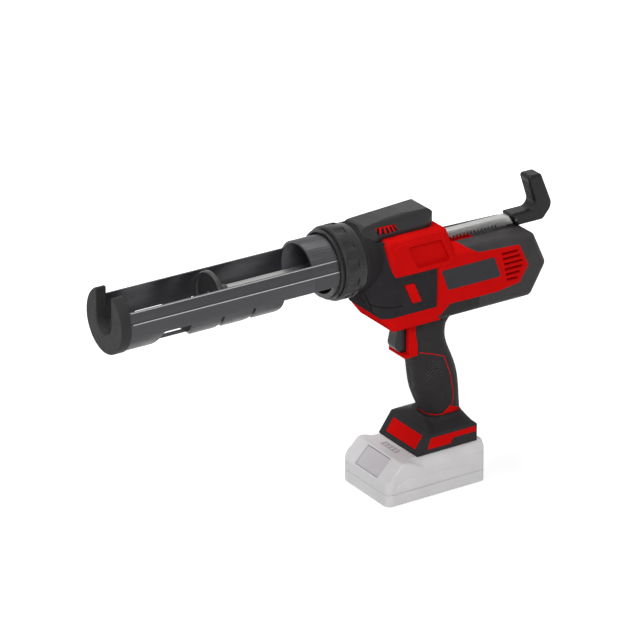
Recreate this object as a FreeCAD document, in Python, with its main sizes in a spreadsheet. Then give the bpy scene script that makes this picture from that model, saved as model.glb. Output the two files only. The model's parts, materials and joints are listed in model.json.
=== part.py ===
import FreeCAD, Part
import math
import os
import Sketcher
from FreeCAD import Placement, Rotation, Vector

# Cordless caulking tool. The nozzle points to -X, +Z is up, and the origin is the middle of the
# battery pack's underside. All lengths are in millimetres.

SIZES = {
    # shared clearances
    "overrun": 2.0,
    "match_tolerance": 0.001,
    "body_gap": 0.3,
    "running_gap": 0.05,
    # barrel line and cradle
    "axis_height": 243.5,
    "nose_front": 75.0,
    "cradle_length": 234.2,
    "cradle_radius": 30.0,
    "cradle_wall": 2.5,
    "rim_rise": 13.7,
    "ledge_rise": 4.2,
    "ledge_step": 1.1,
    "plate_depth": 10.4,
    "plate_radius": 30.8,
    "plate_top_rise": 26.5,
    "slot_radius": 12.8,
    "sleeve_radius": 28.4,
    "sleeve_wall": 2.2,
    "sleeve_length": 32.8,
    "flange_radius": 31.6,
    "flange_depth": 4.0,
    "window_drop": 11.0,
    "window_front_inset": 36.0,
    "window_slope": 9.0,
    "window_corner": 4.0,
    "window_rear_inset": 9.8,
    "tab_front_inset": 75.5,
    "tab_length": 29.5,
    "tab_pitch": 32.5,
    "tab_corner": 13.0,
    "tab_count": 3,
    "keel_width": 2.6,
    # lock ring
    "ring_length": 27.6,
    "ring_radius": 35.0,
    "ring_lip_depth": 5.8,
    "ring_lip_radius": 32.4,
    "ring_groove_depth": 0.9,
    "ring_groove_width": 1.4,
    "ring_chamfer": 1.6,
    "ring_band_length": 6.0,
    "ring_band_radius": 33.4,
    "scallop_radius": 12.0,
    "scallop_depth": 1.5,
    "scallop_count": 12,
    # piston and push rod
    "piston_front_inset": 107.0,
    "piston_radius": 22.4,
    "piston_disc": 4.5,
    "piston_rim": 1.6,
    "piston_dish": 1.5,
    "hub_length": 14.0,
    "hub_radius": 7.0,
    "hub_neck_radius": 5.6,
    "piston_screw_head_radius": 4.2,
    "piston_screw_head": 2.4,
    "piston_screw_radius": 2.0,
    "piston_screw_length": 16.0,
    "rod_width": 8.0,
    "rod_height": 8.6,
    "rod_rise": 3.0,
    "rod_length": 326.5,
    "gear_module": 1.25,
    "rack_teeth": 64,
    "rack_front_inset": 52.0,
    "rod_gap": 0.35,
    # pull hook
    "hook_reach": 49.0,
    "hook_half_width": 8.2,
    "hook_cover": 2.1,
    "hook_top_rise": 36.0,
    "hook_thick": 15.5,
    "hook_lean": 11.0,
    "hook_nose_slant": 8.0,
    "hook_corner": 3.0,
    "hook_inner_bend": 7.0,
    "hook_outer_bend": 11.0,
    "hook_socket": 14.0,
    "hook_round": 2.6,
    "hook_pin_radius": 1.5,
    # drive train
    "pinion_front_inset": 55.0,
    "pinion_teeth": 18,
    "wheel_teeth": 24,
    "worm_pitch_radius": 6.8,
    "tooth_backlash": 0.42,
    "pinion_width": 8.8,
    "worm_backlash": 1.0,
    "wheel_width": 5.0,
    "wheel_offset": 7.2,
    "shaft_radius": 4.0,
    "shaft_left": 20.0,
    "shaft_right": 21.5,
    "bearing_radius": 7.0,
    "bearing_width": 5.0,
    "worm_turns": 5,
    "worm_shaft_radius": 4.0,
    "worm_bearing_width": 5.0,
    "gearbox_radius": 17.0,
    "gearbox_length": 33.0,
    "gearbox_flange_radius": 18.5,
    "gearbox_flange": 3.0,
    "motor_radius": 18.0,
    "motor_length": 50.0,
    "motor_boss_radius": 8.0,
    "motor_cap_length": 8.0,
    "motor_cap_radius": 15.0,
    "motor_bevel": 2.0,
    "bush_radius": 12.0,
    "bush_length": 17.0,
    "rear_bush_half": 7.0,
    "rear_bush_length": 5.0,
    # gear housing
    "housing_rear": 4.0,
    "housing_half_width": 30.2,
    "housing_top_rise": 18.5,
    "housing_floor_drop": 56.5,
    "housing_round": 2.0,
    "housing_chin_rise": 15.0,
    "housing_chin_front": 66.0,
    "housing_keel_front": 56.0,
    "housing_corner": 6.0,
    "nose_lip_radius": 33.6,
    "nose_lip": 3.5,
    "nose_radius": 31.6,
    "nose_length": 10.0,
    "nose_taper": 16.0,
    "nose_bore": 24.0,
    "nose_bore_depth": 16.2,
    "bow_front_half_width": 15.0,
    "bow_length": 33.0,
    "bow_corner": 14.0,
    "housing_wall": 3.2,
    "gear_room_front_inset": 36.5,
    "gear_room_left": 15.5,
    "gear_room_right": 17.0,
    # side panel and lock button
    "panel_half_width": 31.2,
    "panel_front": 35.2,
    "panel_rear": 3.5,
    "panel_drop": 20.0,
    "panel_height": 29.5,
    "panel_slant": 8.0,
    "panel_round": 1.4,
    "panel_corner": 2.5,
    "button_front": 33.5,
    "button_width": 10.2,
    "button_height": 19.5,
    "button_drop": 25.5,
    "button_slant": 8.5,
    "button_depth": 7.0,
    "button_proud": 1.4,
    "button_travel": 2.0,
    "button_round": 1.0,
    "button_corner": 1.4,
    # top cover and speed dial
    "cover_front": 74.0,
    "cover_rear": 10.0,
    "cover_half_width": 20.5,
    "cover_top_rise": 36.3,
    "cover_front_rise": 26.5,
    "cover_brow_inset": 8.0,
    "cover_brow_rise": 32.7,
    "cover_top_inset": 42.0,
    "cover_rear_slope": 6.0,
    "cover_rear_rise": 30.0,
    "cover_round": 6.0,
    "cover_corner": 6.0,
    "cover_bend": 20.0,
    "cover_plan_corner": 14.0,
    "cover_ridge_half_width": 12.5,
    "cover_ridge_rise": 33.5,
    "groove_low_rise": 23.5,
    "groove_width": 5.0,
    "groove_climb": 4.5,
    "dial_front_inset": 30.0,
    "dial_radius": 22.2,
    "dial_lean": 4.2,
    "dial_thick": 4.2,
    "dial_low_rise": 25.6,
    "dial_hub_radius": 6.0,
    "dial_rib_count": 28,
    "dial_rib_depth": 0.8,
    "dial_rib_width": 2.0,
    "dial_shaft_radius": 3.0,
    "sensor_radius": 9.0,
    "sensor_height": 4.5,
    # red saddle round the drive
    "saddle_half_width": 30.8,
    "saddle_front_top": 54.0,
    "saddle_front_low": 44.5,
    "saddle_rear_top": 13.0,
    "saddle_rear_low": 23.5,
    "saddle_top_rise": 20.5,
    "saddle_low_drop": 19.0,
    "saddle_corner": 5.0,
    "saddle_round": 4.5,
    "saddle_wall": 6.6,
    "saddle_rear_wall": 9.0,
    "rod_port_gap": 0.7,
    "recess_front": 30.5,
    "recess_length": 36.5,
    "recess_rise": 10.9,
    "recess_height": 22.9,
    "recess_slant": 11.3,
    "recess_depth": 3.8,
    "recess_corner": 1.8,
    "frame_width": 4.6,
    "frame_reach": 9.0,
    "frame_proud": 0.9,
    # motor body of the red shells
    "body_half_width": 30.6,
    "body_front": 2.0,
    "body_rear": 128.0,
    "deck_drop": 4.5,
    "deck_fall": 3.0,
    "body_shoulder_inset": 15.0,
    "body_waist_drop": 40.5,
    "body_heel_inset": 17.5,
    "body_floor_drop": 71.0,
    "body_corner": 7.5,
    "body_round": 7.0,
    "bumper_skin": 2.2,
    "shell_wall": 2.2,
    "channel_half_width": 9.2,
    "channel_floor_gap": 0.6,
    "bumper_wing_front": 22.5,
    "bumper_wing_rear": 48.4,
    "bumper_wing_drop": 11.9,
    "bumper_eye_top": 94.5,
    "bumper_eye_drop": 14.8,
    "bumper_eye_rear": 105.3,
    "bumper_eye_mid_drop": 37.3,
    "bumper_eye_low": 95.4,
    "bumper_eye_low_drop": 53.0,
    "bumper_lip": 71.0,
    "bumper_lip_drop": 56.5,
    "bumper_split": 50.5,
    "plate_front": 7.3,
    "plate_length": 59.2,
    "plate_drop": 21.0,
    "plate_height": 21.0,
    "plate_slant": 8.0,
    "plate_thick": 1.2,
    "plate_proud": 0.25,
    "plate_corner": 2.0,
    "vent_front": 75.0,
    "vent_rear": 100.0,
    "vent_lean": 1.2,
    "vent_pitch": 5.4,
    "vent_height": 2.6,
    "vent_count": 6,
    "vent_step": 2.6,
    "vent_mid_drop": 34.0,
    "rib_width": 3.0,
    "rib_front": 48.0,
    "rib_rear": 72.0,
    "switch_rib": 2.0,
    # chin band and handle
    "chin_keel": 43.0,
    "chin_front": 59.0,
    "chin_corner": 6.0,
    "chin_floor_drop": 72.0,
    "chin_round": 5.0,
    "chin_half_width": 29.4,
    "chin_rear": 10.0,
    "grip_skin": 2.0,
    "grip_wall": 2.4,
    "grip_corner_share": 0.82,
    "grip_top": 176.0,
    "grip_bottom": 58.0,
    "grip_depth": 36.0,
    "grip_half_width": 17.4,
    "grip_cover_low": 70.2,
    "grip_room_low": 73.0,
    "web_rear": 72.0,
    "web_half_width": 15.0,
    "web_round": 8.0,
    "web_bend": 28.0,
    "spur_front": 20.5,
    "spur_tip": 29.0,
    "spur_rear": 41.0,
    "spur_rise": 6.6,
    "frame_front": 15.8,
    "frame_rear": 6.0,
    "frame_low": 137.6,
    "frame_half_width": 14.0,
    "frame_round": 1.0,
    "frame_lip": 4.5,
    "frame_lip_depth": 3.2,
    "tongue_drop": 56.0,
    "tongue_front": 17.5,
    "tongue_slant": 20.5,
    # trigger and electrics
    "trigger_half_width": 8.2,
    "trigger_front": 27.2,
    "trigger_waist": 24.4,
    "trigger_brow": 25.6,
    "trigger_rear": 14.0,
    "trigger_stem_radius": 3.0,
    "trigger_stem": 12.0,
    "trigger_top": 169.5,
    "trigger_low": 138.3,
    "trigger_bend": 7.0,
    "trigger_round": 3.0,
    "trigger_travel": 6.5,
    "switch_front": 6.6,
    "switch_length": 19.5,
    "switch_half_width": 9.5,
    "switch_top": 166.0,
    "switch_low": 142.0,
    "wire_front": 16.0,
    "wire_length": 14.0,
    "wire_half_width": 8.0,
    # foot
    "foot_front": 18.4,
    "foot_rear": 49.0,
    "foot_half_width": 33.0,
    "foot_shoulder": 61.5,
    "foot_shoulder_front": 4.2,
    "foot_corner": 3.5,
    "foot_round": 3.0,
    "foot_edge": 1.5,
    "foot_neck": 69.0,
    "foot_neck_front": 4.0,
    "foot_neck_rear": 46.0,
    "foot_neck_half_width": 19.5,
    "foot_neck_corner": 14.0,
    "foot_wall": 4.5,
    "foot_ceiling": 2.0,
    "foot_room_half_width": 24.0,
    "terminal_front": 26.0,
    "terminal_rear": 46.0,
    "terminal_half_width": 22.0,
    "terminal_top": 52.5,
    "trim_depth": 1.6,
    "trim_front_half_width": 24.0,
    "trim_low": 46.2,
    "trim_high": 57.2,
    "trim_mid": 51.4,
    "trim_front": 7.5,
    "trim_middle": 18.6,
    "trim_slant": 3.1,
    "trim_rear": 47.0,
    # battery pack
    "pack_half_length": 55.3,
    "pack_half_width": 38.0,
    "pack_split": 12.0,
    "pack_side_top": 32.0,
    "pack_deck": 41.0,
    "pack_deck_half_width": 30.5,
    "pack_corner": 5.0,
    "pack_front_corner": 7.0,
    "pack_round": 2.0,
    "pack_wall": 2.6,
    "pack_seam": 0.6,
    "rail_neck_half_width": 21.5,
    "rail_half_width": 25.5,
    "rail_neck": 1.7,
    "rail_head": 1.9,
    "rail_front": 15.0,
    "rail_rear": 45.0,
    "latch_half_width": 19.0,
    "slope_low": 23.0,
    "slope_top_front": 38.0,
    "latch_margin": 2.0,
    "latch_sink": 1.5,
    "latch_depth": 2.5,
    "latch_round": 1.2,
    "latch_travel": 2.0,
    "gauge_front": 30.0,
    "gauge_length": 7.0,
    "gauge_half_width": 13.0,
    "gauge_depth": 1.2,
    "gauge_sink": 0.4,
    "cell_radius": 9.1,
    "cell_length": 65.0,
    "cell_pitch": 18.8,
    "cell_count": 5,
    "cell_room": 1.0,
    "board_thick": 1.6,
    "board_front": 24.0,
    "board_half_width": 28.0,
    "blade_front": 30.0,
    "blade_thick": 0.8,
    "blade_height": 3.0,
    "blade_length": 12.0,
    "blade_pitch": 9.0,
    "blade_count": 5,
    # fasteners
    "screw_radius": 1.5,
    "screw_head_radius": 3.0,
    "screw_head": 2.2,
    "screw_depth": 11.0,
    "screw_seat": 6.0,
    "top_screw_x": 60.0,
    "top_screw_drop": 14.5,
    "rear_screw_x": 112.0,
    "rear_screw_drop": 38.5,
    "floor_screw_x": 45.0,
    "floor_screw_drop": 63.0,
    "chin_screw_x": 38.0,
    "chin_screw_drop": 63.5,
    "grip_screw_x": 10.0,
    "grip_screw_height": 130.0,
    "heel_screw_x": 26.0,
    "heel_screw_height": 80.0,
    "boss_radius": 4.6,
    "pack_screw_length": 14.0,
    "pack_screw_x": 51.0,
    "pack_screw_y": 20.0,
}

doc = FreeCAD.newDocument("caulking_tool")
sheet = doc.addObject("Spreadsheet::Sheet", "Sizes")
for row, (alias, number) in enumerate(SIZES.items(), 1):
    sheet.set(f"A{row}", alias)
    sheet.set(f"B{row}", str(number))
    sheet.setAlias(f"B{row}", alias)
doc.recompute()


class Size:
    """A length or count with its present value and the sheet expression that it comes from."""

    def __init__(self, value, text):
        self.value = value
        self.text = text

    def __add__(self, other):
        other = as_size(other)
        return Size(self.value + other.value, f"({self.text} + {other.text})")

    def __sub__(self, other):
        other = as_size(other)
        return Size(self.value - other.value, f"({self.text} - {other.text})")

    def __mul__(self, other):
        other = as_size(other)
        return Size(self.value * other.value, f"({self.text} * {other.text})")

    def __truediv__(self, other):
        other = as_size(other)
        return Size(self.value / other.value, f"({self.text} / {other.text})")

    def __neg__(self):
        return Size(-self.value, f"(0 - {self.text})")

    __radd__ = __add__
    __rmul__ = __mul__


def as_size(number):
    """Plain counts and shares become sizes too, so that they can stand in a sum."""
    if isinstance(number, Size):
        return number
    return Size(float(number), f"({float(number)!r})")


def hypotenuse(run, rise):
    return Size(math.hypot(run.value, rise.value), f"hypot({run.text}; {rise.text})")


class Sheet:
    """Gives each cell of the sheet as a size, by its alias."""

    def __getattr__(self, alias):
        return Size(float(sheet.get(alias)), f"Sizes.{alias}")


S = Sheet()
ZERO = as_size(0)
NODES = {}
PLANES = {"X": "YZ_Plane", "Y": "XZ_Plane", "Z": "XY_Plane"}
TURNS = {
    "X": Rotation(),
    "Y": Rotation(Vector(0, 0, 1), 90),
    "Z": Rotation(Vector(0, 1, 0), -90),
}
BAR_TURNS = {
    "X": Rotation(Vector(0, 1, 0), 90),
    "Y": Rotation(Vector(1, 0, 0), -90),
    "Z": Rotation(),
}


def bind(thing, **sizes):
    """Ties properties of an object to sheet expressions."""
    for name, size in sizes.items():
        thing.setExpression(name, as_size(size).text)


def place(thing, x, y, z, turn=None):
    """Ties the place of an object to sheet expressions, after an optional turn."""
    if turn is not None:
        thing.Placement = Placement(Vector(), turn)
    for letter, size in zip("xyz", (x, y, z)):
        thing.setExpression(f"Placement.Base.{letter}", as_size(size).text)


def node(name, thing):
    """Makes an object one of the pieces that are written out."""
    thing.Label = name
    NODES[name] = thing
    return thing


def sketch_on(body, axis, offset):
    """An empty sketch across the given axis, at an offset along that axis."""
    sketch = body.newObject("Sketcher::SketchObject", f"{body.Name}_sketch")
    plane = next(part for part in body.Origin.OriginFeatures if part.Role == PLANES[axis])
    sketch.AttachmentSupport = [(plane, "")]
    sketch.MapMode = "FlatFace"
    local = -as_size(offset) if axis == "Y" else as_size(offset)
    sketch.setExpression("AttachmentOffset.Base.z", local.text)
    return sketch


def corner_arc(before, point, after, radius):
    """The tangent arc at a corner, its two ends, and whether it runs from the first to the second."""
    back = (before - point).normalize()
    ahead = (after - point).normalize()
    half = math.acos(max(-1.0, min(1.0, back.dot(ahead)))) / 2
    reach = radius / math.tan(half)
    first = point + back * reach
    second = point + ahead * reach
    centre = point + (back + ahead).normalize() * (radius / math.sin(half))
    forward = back.cross(ahead).z < 0
    ends = (first, second) if forward else (second, first)
    angles = [math.atan2(end.y - centre.y, end.x - centre.x) for end in ends]
    circle = Part.Circle(centre, Vector(0, 0, 1), radius)
    return Part.ArcOfCircle(circle, *angles), first, second, forward


def outline(sketch, corners):
    """Draws a closed outline. A corner is (x, y), or (x, y, radius) where a tangent arc rounds it.

    Every corner is held by its two distances from the origin, and every arc by its radius.
    """
    corners = [tuple(as_size(size) for size in corner) for corner in corners]
    points = [Vector(corner[0].value, corner[1].value, 0) for corner in corners]
    count = len(points)
    arcs = {}
    for place_number, corner in enumerate(corners):
        if len(corner) > 2:
            neighbours = points[place_number - 1], points[place_number], points[(place_number + 1) % count]
            arcs[place_number] = corner_arc(*neighbours, corner[2].value)
    lines = []
    for place_number in range(count):
        following = (place_number + 1) % count
        start = arcs[place_number][2] if place_number in arcs else points[place_number]
        end = arcs[following][1] if following in arcs else points[following]
        lines.append(sketch.addGeometry(Part.LineSegment(start, end), False))
    fixed, driven = [], []
    for place_number, corner in enumerate(corners):
        into, out = lines[place_number - 1], lines[place_number]
        if place_number in arcs:
            arc, first, second, forward = arcs[place_number]
            bend = sketch.addGeometry(arc, False)
            mark = sketch.addGeometry(Part.Point(points[place_number]), True)
            near, far = (1, 2) if forward else (2, 1)
            fixed.append(Sketcher.Constraint("Tangent", into, 2, bend, near))
            fixed.append(Sketcher.Constraint("Tangent", bend, far, out, 1))
            fixed.append(Sketcher.Constraint("PointOnObject", mark, 1, into))
            fixed.append(Sketcher.Constraint("PointOnObject", mark, 1, out))
            driven.append((("Radius", bend), corner[2]))
            held = mark
        else:
            fixed.append(Sketcher.Constraint("Coincident", into, 2, out, 1))
            held = out
        driven.append((("DistanceX", -1, 1, held, 1), corner[0]))
        driven.append((("DistanceY", -1, 1, held, 1), corner[1]))
    sketch.addConstraint(fixed)
    for terms, size in driven:
        number = sketch.addConstraint(Sketcher.Constraint(*terms, size.value))
        sketch.setExpression(f"Constraints[{number}]", size.text)


def edges_at(shape, axis, levels):
    """Names of the edges that lie wholly at one of the levels along an axis."""
    names = []
    tolerance = S.match_tolerance.value
    for number, edge in enumerate(shape.Edges, 1):
        box = edge.BoundBox
        low, high = getattr(box, f"{axis}Min"), getattr(box, f"{axis}Max")
        if any(abs(low - level) < tolerance and abs(high - level) < tolerance for level in levels):
            names.append(f"Edge{number}")
    return names


def prism(name, axis, corners, low, high, rim=None, rim_at="both", bevel=False):
    """An outline carried along an axis from low to high, with its end rims rounded or bevelled."""
    low, high = as_size(low), as_size(high)
    body = doc.addObject("PartDesign::Body", name)
    sketch = sketch_on(body, axis, high if axis == "Y" else low)
    outline(sketch, corners)
    pad = body.newObject("PartDesign::Pad", f"{name}_pad")
    pad.Profile = sketch
    bind(pad, Length=high - low)
    if rim is not None:
        doc.recompute()
        levels = {"both": (low.value, high.value), "low": (low.value,), "high": (high.value,)}[rim_at]
        kind = "PartDesign::Chamfer" if bevel else "PartDesign::Fillet"
        edge_feature = body.newObject(kind, f"{name}_rim")
        edge_feature.Base = (pad, edges_at(pad.Shape, axis, levels))
        bind(edge_feature, **{"Size" if bevel else "Radius": rim})
    return body


def turned(name, axis, corners, centre):
    """A profile of (distance along the axis, radius) points turned about that axis."""
    body = doc.addObject("PartDesign::Body", name)
    sketch = sketch_on(body, "Y", ZERO)
    outline(sketch, corners)
    turn = body.newObject("PartDesign::Revolution", f"{name}_turn")
    turn.Profile = sketch
    turn.ReferenceAxis = (sketch, ["H_Axis"])
    turn.Angle = 360
    first, second = centre
    spot = {"X": (ZERO, first, second), "Y": (first, ZERO, second), "Z": (first, second, ZERO)}[axis]
    place(body, *spot, TURNS[axis])
    return body


def loft(name, axis, sections):
    """A skin through outlines that lie across an axis, given as (place along it, corners) pairs."""
    body = doc.addObject("PartDesign::Body", name)
    sketches = []
    for spot, corners in sections:
        sketch = sketch_on(body, axis, spot)
        outline(sketch, corners)
        sketches.append(sketch)
    skin = body.newObject("PartDesign::AdditiveLoft", f"{name}_skin")
    skin.Profile = sketches[0]
    skin.Sections = sketches[1:]
    return body


def block(name, x, y, z):
    """A box between the low and high limits on each axis."""
    box = doc.addObject("Part::Box", name)
    limits = [(as_size(low), as_size(high)) for low, high in (x, y, z)]
    bind(box, Length=limits[0][1] - limits[0][0], Width=limits[1][1] - limits[1][0])
    bind(box, Height=limits[2][1] - limits[2][0])
    place(box, *(low for low, high in limits))
    return box


def bar(name, axis, radius, low, high, centre):
    """A round bar along an axis from low to high. The centre gives the other two places."""
    rod = doc.addObject("Part::Cylinder", name)
    bind(rod, Radius=radius, Height=as_size(high) - low)
    first, second = centre
    spot = {"X": (low, first, second), "Y": (first, low, second), "Z": (first, second, low)}[axis]
    place(rod, *spot, BAR_TURNS[axis])
    return rod


def fuse(name, *parts):
    joined = doc.addObject("Part::MultiFuse", name)
    joined.Shapes = list(parts)
    return joined


def common(name, *parts):
    shared = doc.addObject("Part::MultiCommon", name)
    shared.Shapes = list(parts)
    return shared


def cut(name, base, *tools):
    result = doc.addObject("Part::Cut", name)
    result.Base = base
    result.Tool = tools[0] if len(tools) == 1 else fuse(f"{name}_tools", *tools)
    return result


def group(name, parts):
    """Separate solids that share one node."""
    bundle = doc.addObject("Part::Compound", name)
    bundle.Links = list(parts)
    return bundle


# Places along the barrel line
AXIS = S.axis_height
CENTRE = (ZERO, AXIS)
NOSE = -S.nose_front
RING_FRONT = NOSE - S.body_gap - S.ring_length
FLANGE_FRONT = RING_FRONT + S.ring_lip_depth + S.body_gap
FLANGE_REAR = FLANGE_FRONT + S.flange_depth
FRONT = FLANGE_FRONT - S.cradle_length
PLATE_REAR = FRONT + S.plate_depth
SLEEVE_FRONT = FLANGE_FRONT - S.sleeve_length
SLEEVE_BORE = S.sleeve_radius - S.sleeve_wall
CRADLE_BORE = S.cradle_radius - S.cradle_wall
FAR = S.plate_radius + S.overrun


def cartridge_cradle():
    """Open trough with windows underneath, a slotted front plate, and a rear sleeve with a flange."""
    trough = turned("trough", "X", [
        (FRONT, ZERO),
        (FRONT, S.plate_radius),
        (PLATE_REAR, S.plate_radius),
        (PLATE_REAR, S.cradle_radius),
        (FLANGE_FRONT, S.cradle_radius),
        (FLANGE_FRONT, S.flange_radius),
        (FLANGE_REAR, S.flange_radius),
        (FLANGE_REAR, SLEEVE_BORE),
        (SLEEVE_FRONT, SLEEVE_BORE),
        (SLEEVE_FRONT, CRADLE_BORE),
        (PLATE_REAR, CRADLE_BORE),
        (PLATE_REAR, ZERO),
    ], CENTRE)
    rim, ledge, top = AXIS + S.rim_rise, AXIS + S.ledge_rise, AXIS + FAR
    bay = block("bay", (PLATE_REAR, SLEEVE_FRONT), (-FAR, FAR), (rim, top))
    plate_top = block(
        "plate_top", (FRONT - S.overrun, PLATE_REAR), (-FAR, FAR), (AXIS + S.plate_top_rise, top)
    )
    slot_round = bar("slot_round", "X", S.slot_radius, FRONT - S.overrun, PLATE_REAR + S.overrun, CENTRE)
    slot_mouth = block(
        "slot_mouth", (FRONT - S.overrun, PLATE_REAR + S.overrun), (-S.slot_radius, S.slot_radius),
        (AXIS, top),
    )
    ledge_cut = cut(
        "ledge_cut",
        block("ledge_zone", (PLATE_REAR, FLANGE_FRONT), (-FAR, FAR), (ledge, top)),
        bar("ledge_core", "X", S.cradle_radius - S.ledge_step, FRONT, FLANGE_REAR, CENTRE),
    )
    sleeve_cut = cut(
        "sleeve_cut",
        block("sleeve_zone", (SLEEVE_FRONT, FLANGE_FRONT), (-FAR, FAR), (rim, top)),
        bar("sleeve_core", "X", S.sleeve_radius, FRONT, FLANGE_REAR, CENTRE),
    )
    whole = cut(
        "cradle", trough, bay, plate_top, slot_round, slot_mouth, ledge_cut, sleeve_cut, cradle_windows()
    )
    runs = {
        "cradle_front": (FRONT - S.overrun, PLATE_REAR),
        "cartridge_cradle": (PLATE_REAR, SLEEVE_FRONT),
        "cradle_sleeve": (SLEEVE_FRONT, FLANGE_REAR + S.overrun),
    }
    for name, run in runs.items():
        zone = block(f"{name}_zone", run, (-FAR, FAR), (AXIS - FAR, top))
        node(name, common(f"{name}_run", whole, zone))


def cradle_windows():
    """The open underside: one long cut that leaves a row of rounded tabs and a keel strip."""
    head, floor = AXIS - S.window_drop, AXIS - FAR
    front, rear = FRONT + S.window_front_inset, FLANGE_FRONT - S.window_rear_inset
    opening = prism("window_opening", "Y", [
        (front, floor),
        (front + S.window_slope, head, S.window_corner),
        (rear, head, S.window_corner),
        (rear, floor),
    ], -FAR, FAR)
    tabs = []
    for number in range(int(S.tab_count.value)):
        start = FRONT + S.tab_front_inset + S.tab_pitch * number
        end = start + S.tab_length
        tabs.append(prism(f"tab_{number}", "Y", [
            (start, AXIS - S.plate_radius, S.tab_corner),
            (end, AXIS - S.plate_radius, S.tab_corner),
            (end, head + S.overrun),
            (start, head + S.overrun),
        ], -FAR - S.overrun, FAR + S.overrun))
    last_tab = FRONT + S.tab_front_inset + S.tab_pitch * S.tab_count
    half_keel = S.keel_width / 2
    keel = block("keel", (FRONT, last_tab), (-half_keel, half_keel), (floor, head))
    return cut("window_cut", opening, keel, *tabs)


def lock_ring():
    """Union nut with a front lip over the cradle's flange and scalloped grips."""
    bore = S.flange_radius + S.body_gap
    lip_bore = S.cradle_radius + S.body_gap
    lip_rear = RING_FRONT + S.ring_lip_depth
    rear = RING_FRONT + S.ring_length
    band = rear - S.ring_band_length
    collar = lip_rear - S.ring_groove_width
    groove = collar - S.ring_groove_width
    groove_floor = S.ring_lip_radius - S.ring_groove_depth
    blank = turned("ring_blank", "X", [
        (RING_FRONT, lip_bore),
        (RING_FRONT, S.ring_lip_radius),
        (groove, S.ring_lip_radius),
        (groove, groove_floor),
        (collar, groove_floor),
        (collar, S.ring_radius - S.ring_chamfer),
        (collar + S.ring_chamfer, S.ring_radius),
        (band - S.ring_chamfer, S.ring_radius),
        (band, S.ring_band_radius),
        (rear, S.ring_band_radius),
        (rear, bore),
        (lip_rear, bore),
        (lip_rear, lip_bore),
    ], CENTRE)
    reach = S.ring_radius + S.scallop_radius - S.scallop_depth
    count = int(S.scallop_count.value)
    scallops = []
    for number in range(count):
        angle = 2 * math.pi * (number + 0.5) / count
        spot = (reach * math.sin(angle), AXIS + reach * math.cos(angle))
        scallops.append(bar(
            f"scallop_{number}", "X", S.scallop_radius, collar + S.ring_chamfer * 2,
            band - S.ring_chamfer * 2, spot,
        ))
    return node("lock_ring", cut("ring", blank, *scallops))


# Places along the push rod
PISTON_FRONT = FRONT + S.piston_front_inset
PISTON_REAR = PISTON_FRONT + S.piston_disc
ROD_FRONT = PISTON_REAR + S.hub_length / 2
ROD_REAR = ROD_FRONT + S.rod_length
ROD_TOP = AXIS + S.rod_rise
ROD_TIPS = ROD_TOP - S.rod_height
ROD_MIDDLE = (ROD_TOP + ROD_TIPS) / 2
RACK_PITCH = math.pi * S.gear_module
RACK_LINE = ROD_TIPS + S.gear_module
ROD_CENTRE = (ZERO, ROD_MIDDLE)
ADDENDUM_SHARE = 1.0
ROOT_SHARE = 1.25
FLANK_SHARE = math.tan(math.radians(20))


def piston():
    """Dished plate on the front of the rod, the hub behind it and the screw that holds both."""
    bore = S.piston_screw_radius + S.running_gap
    dish = PISTON_FRONT + S.piston_dish
    plate = turned("plate_turn", "X", [
        (dish, bore),
        (dish, S.piston_radius - S.piston_rim * 2),
        (PISTON_FRONT, S.piston_radius - S.piston_rim),
        (PISTON_FRONT, S.piston_radius - S.piston_rim / 2),
        (PISTON_FRONT + S.piston_rim / 2, S.piston_radius),
        (PISTON_REAR, S.piston_radius),
        (PISTON_REAR, bore),
    ], ROD_CENTRE)
    node("piston_plate", plate)
    hub_rear = PISTON_REAR + S.hub_length
    hub = turned("hub_turn", "X", [
        (PISTON_REAR, bore),
        (PISTON_REAR, S.hub_radius),
        (PISTON_REAR + S.hub_length / 3, S.hub_neck_radius),
        (hub_rear - S.hub_length / 3, S.hub_neck_radius),
        (hub_rear - S.hub_length / 3, S.hub_radius),
        (hub_rear, S.hub_radius),
        (hub_rear, bore),
    ], ROD_CENTRE)
    half = S.rod_width / 2
    socket = block("hub_socket", (ROD_FRONT, hub_rear + S.overrun), (-half, half), (ROD_TIPS, ROD_TOP))
    node("piston_hub", cut("hub", hub, socket))
    screw = turned("piston_screw_turn", "X", [
        (dish - S.piston_screw_head, ZERO),
        (dish - S.piston_screw_head, S.piston_screw_head_radius - S.piston_screw_head / 2),
        (dish - S.piston_screw_head / 2, S.piston_screw_head_radius),
        (dish, S.piston_screw_head_radius),
        (dish, S.piston_screw_radius),
        (dish + S.piston_screw_length, S.piston_screw_radius),
        (dish + S.piston_screw_length, ZERO),
    ], ROD_CENTRE)
    node("piston_screw", screw)


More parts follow.
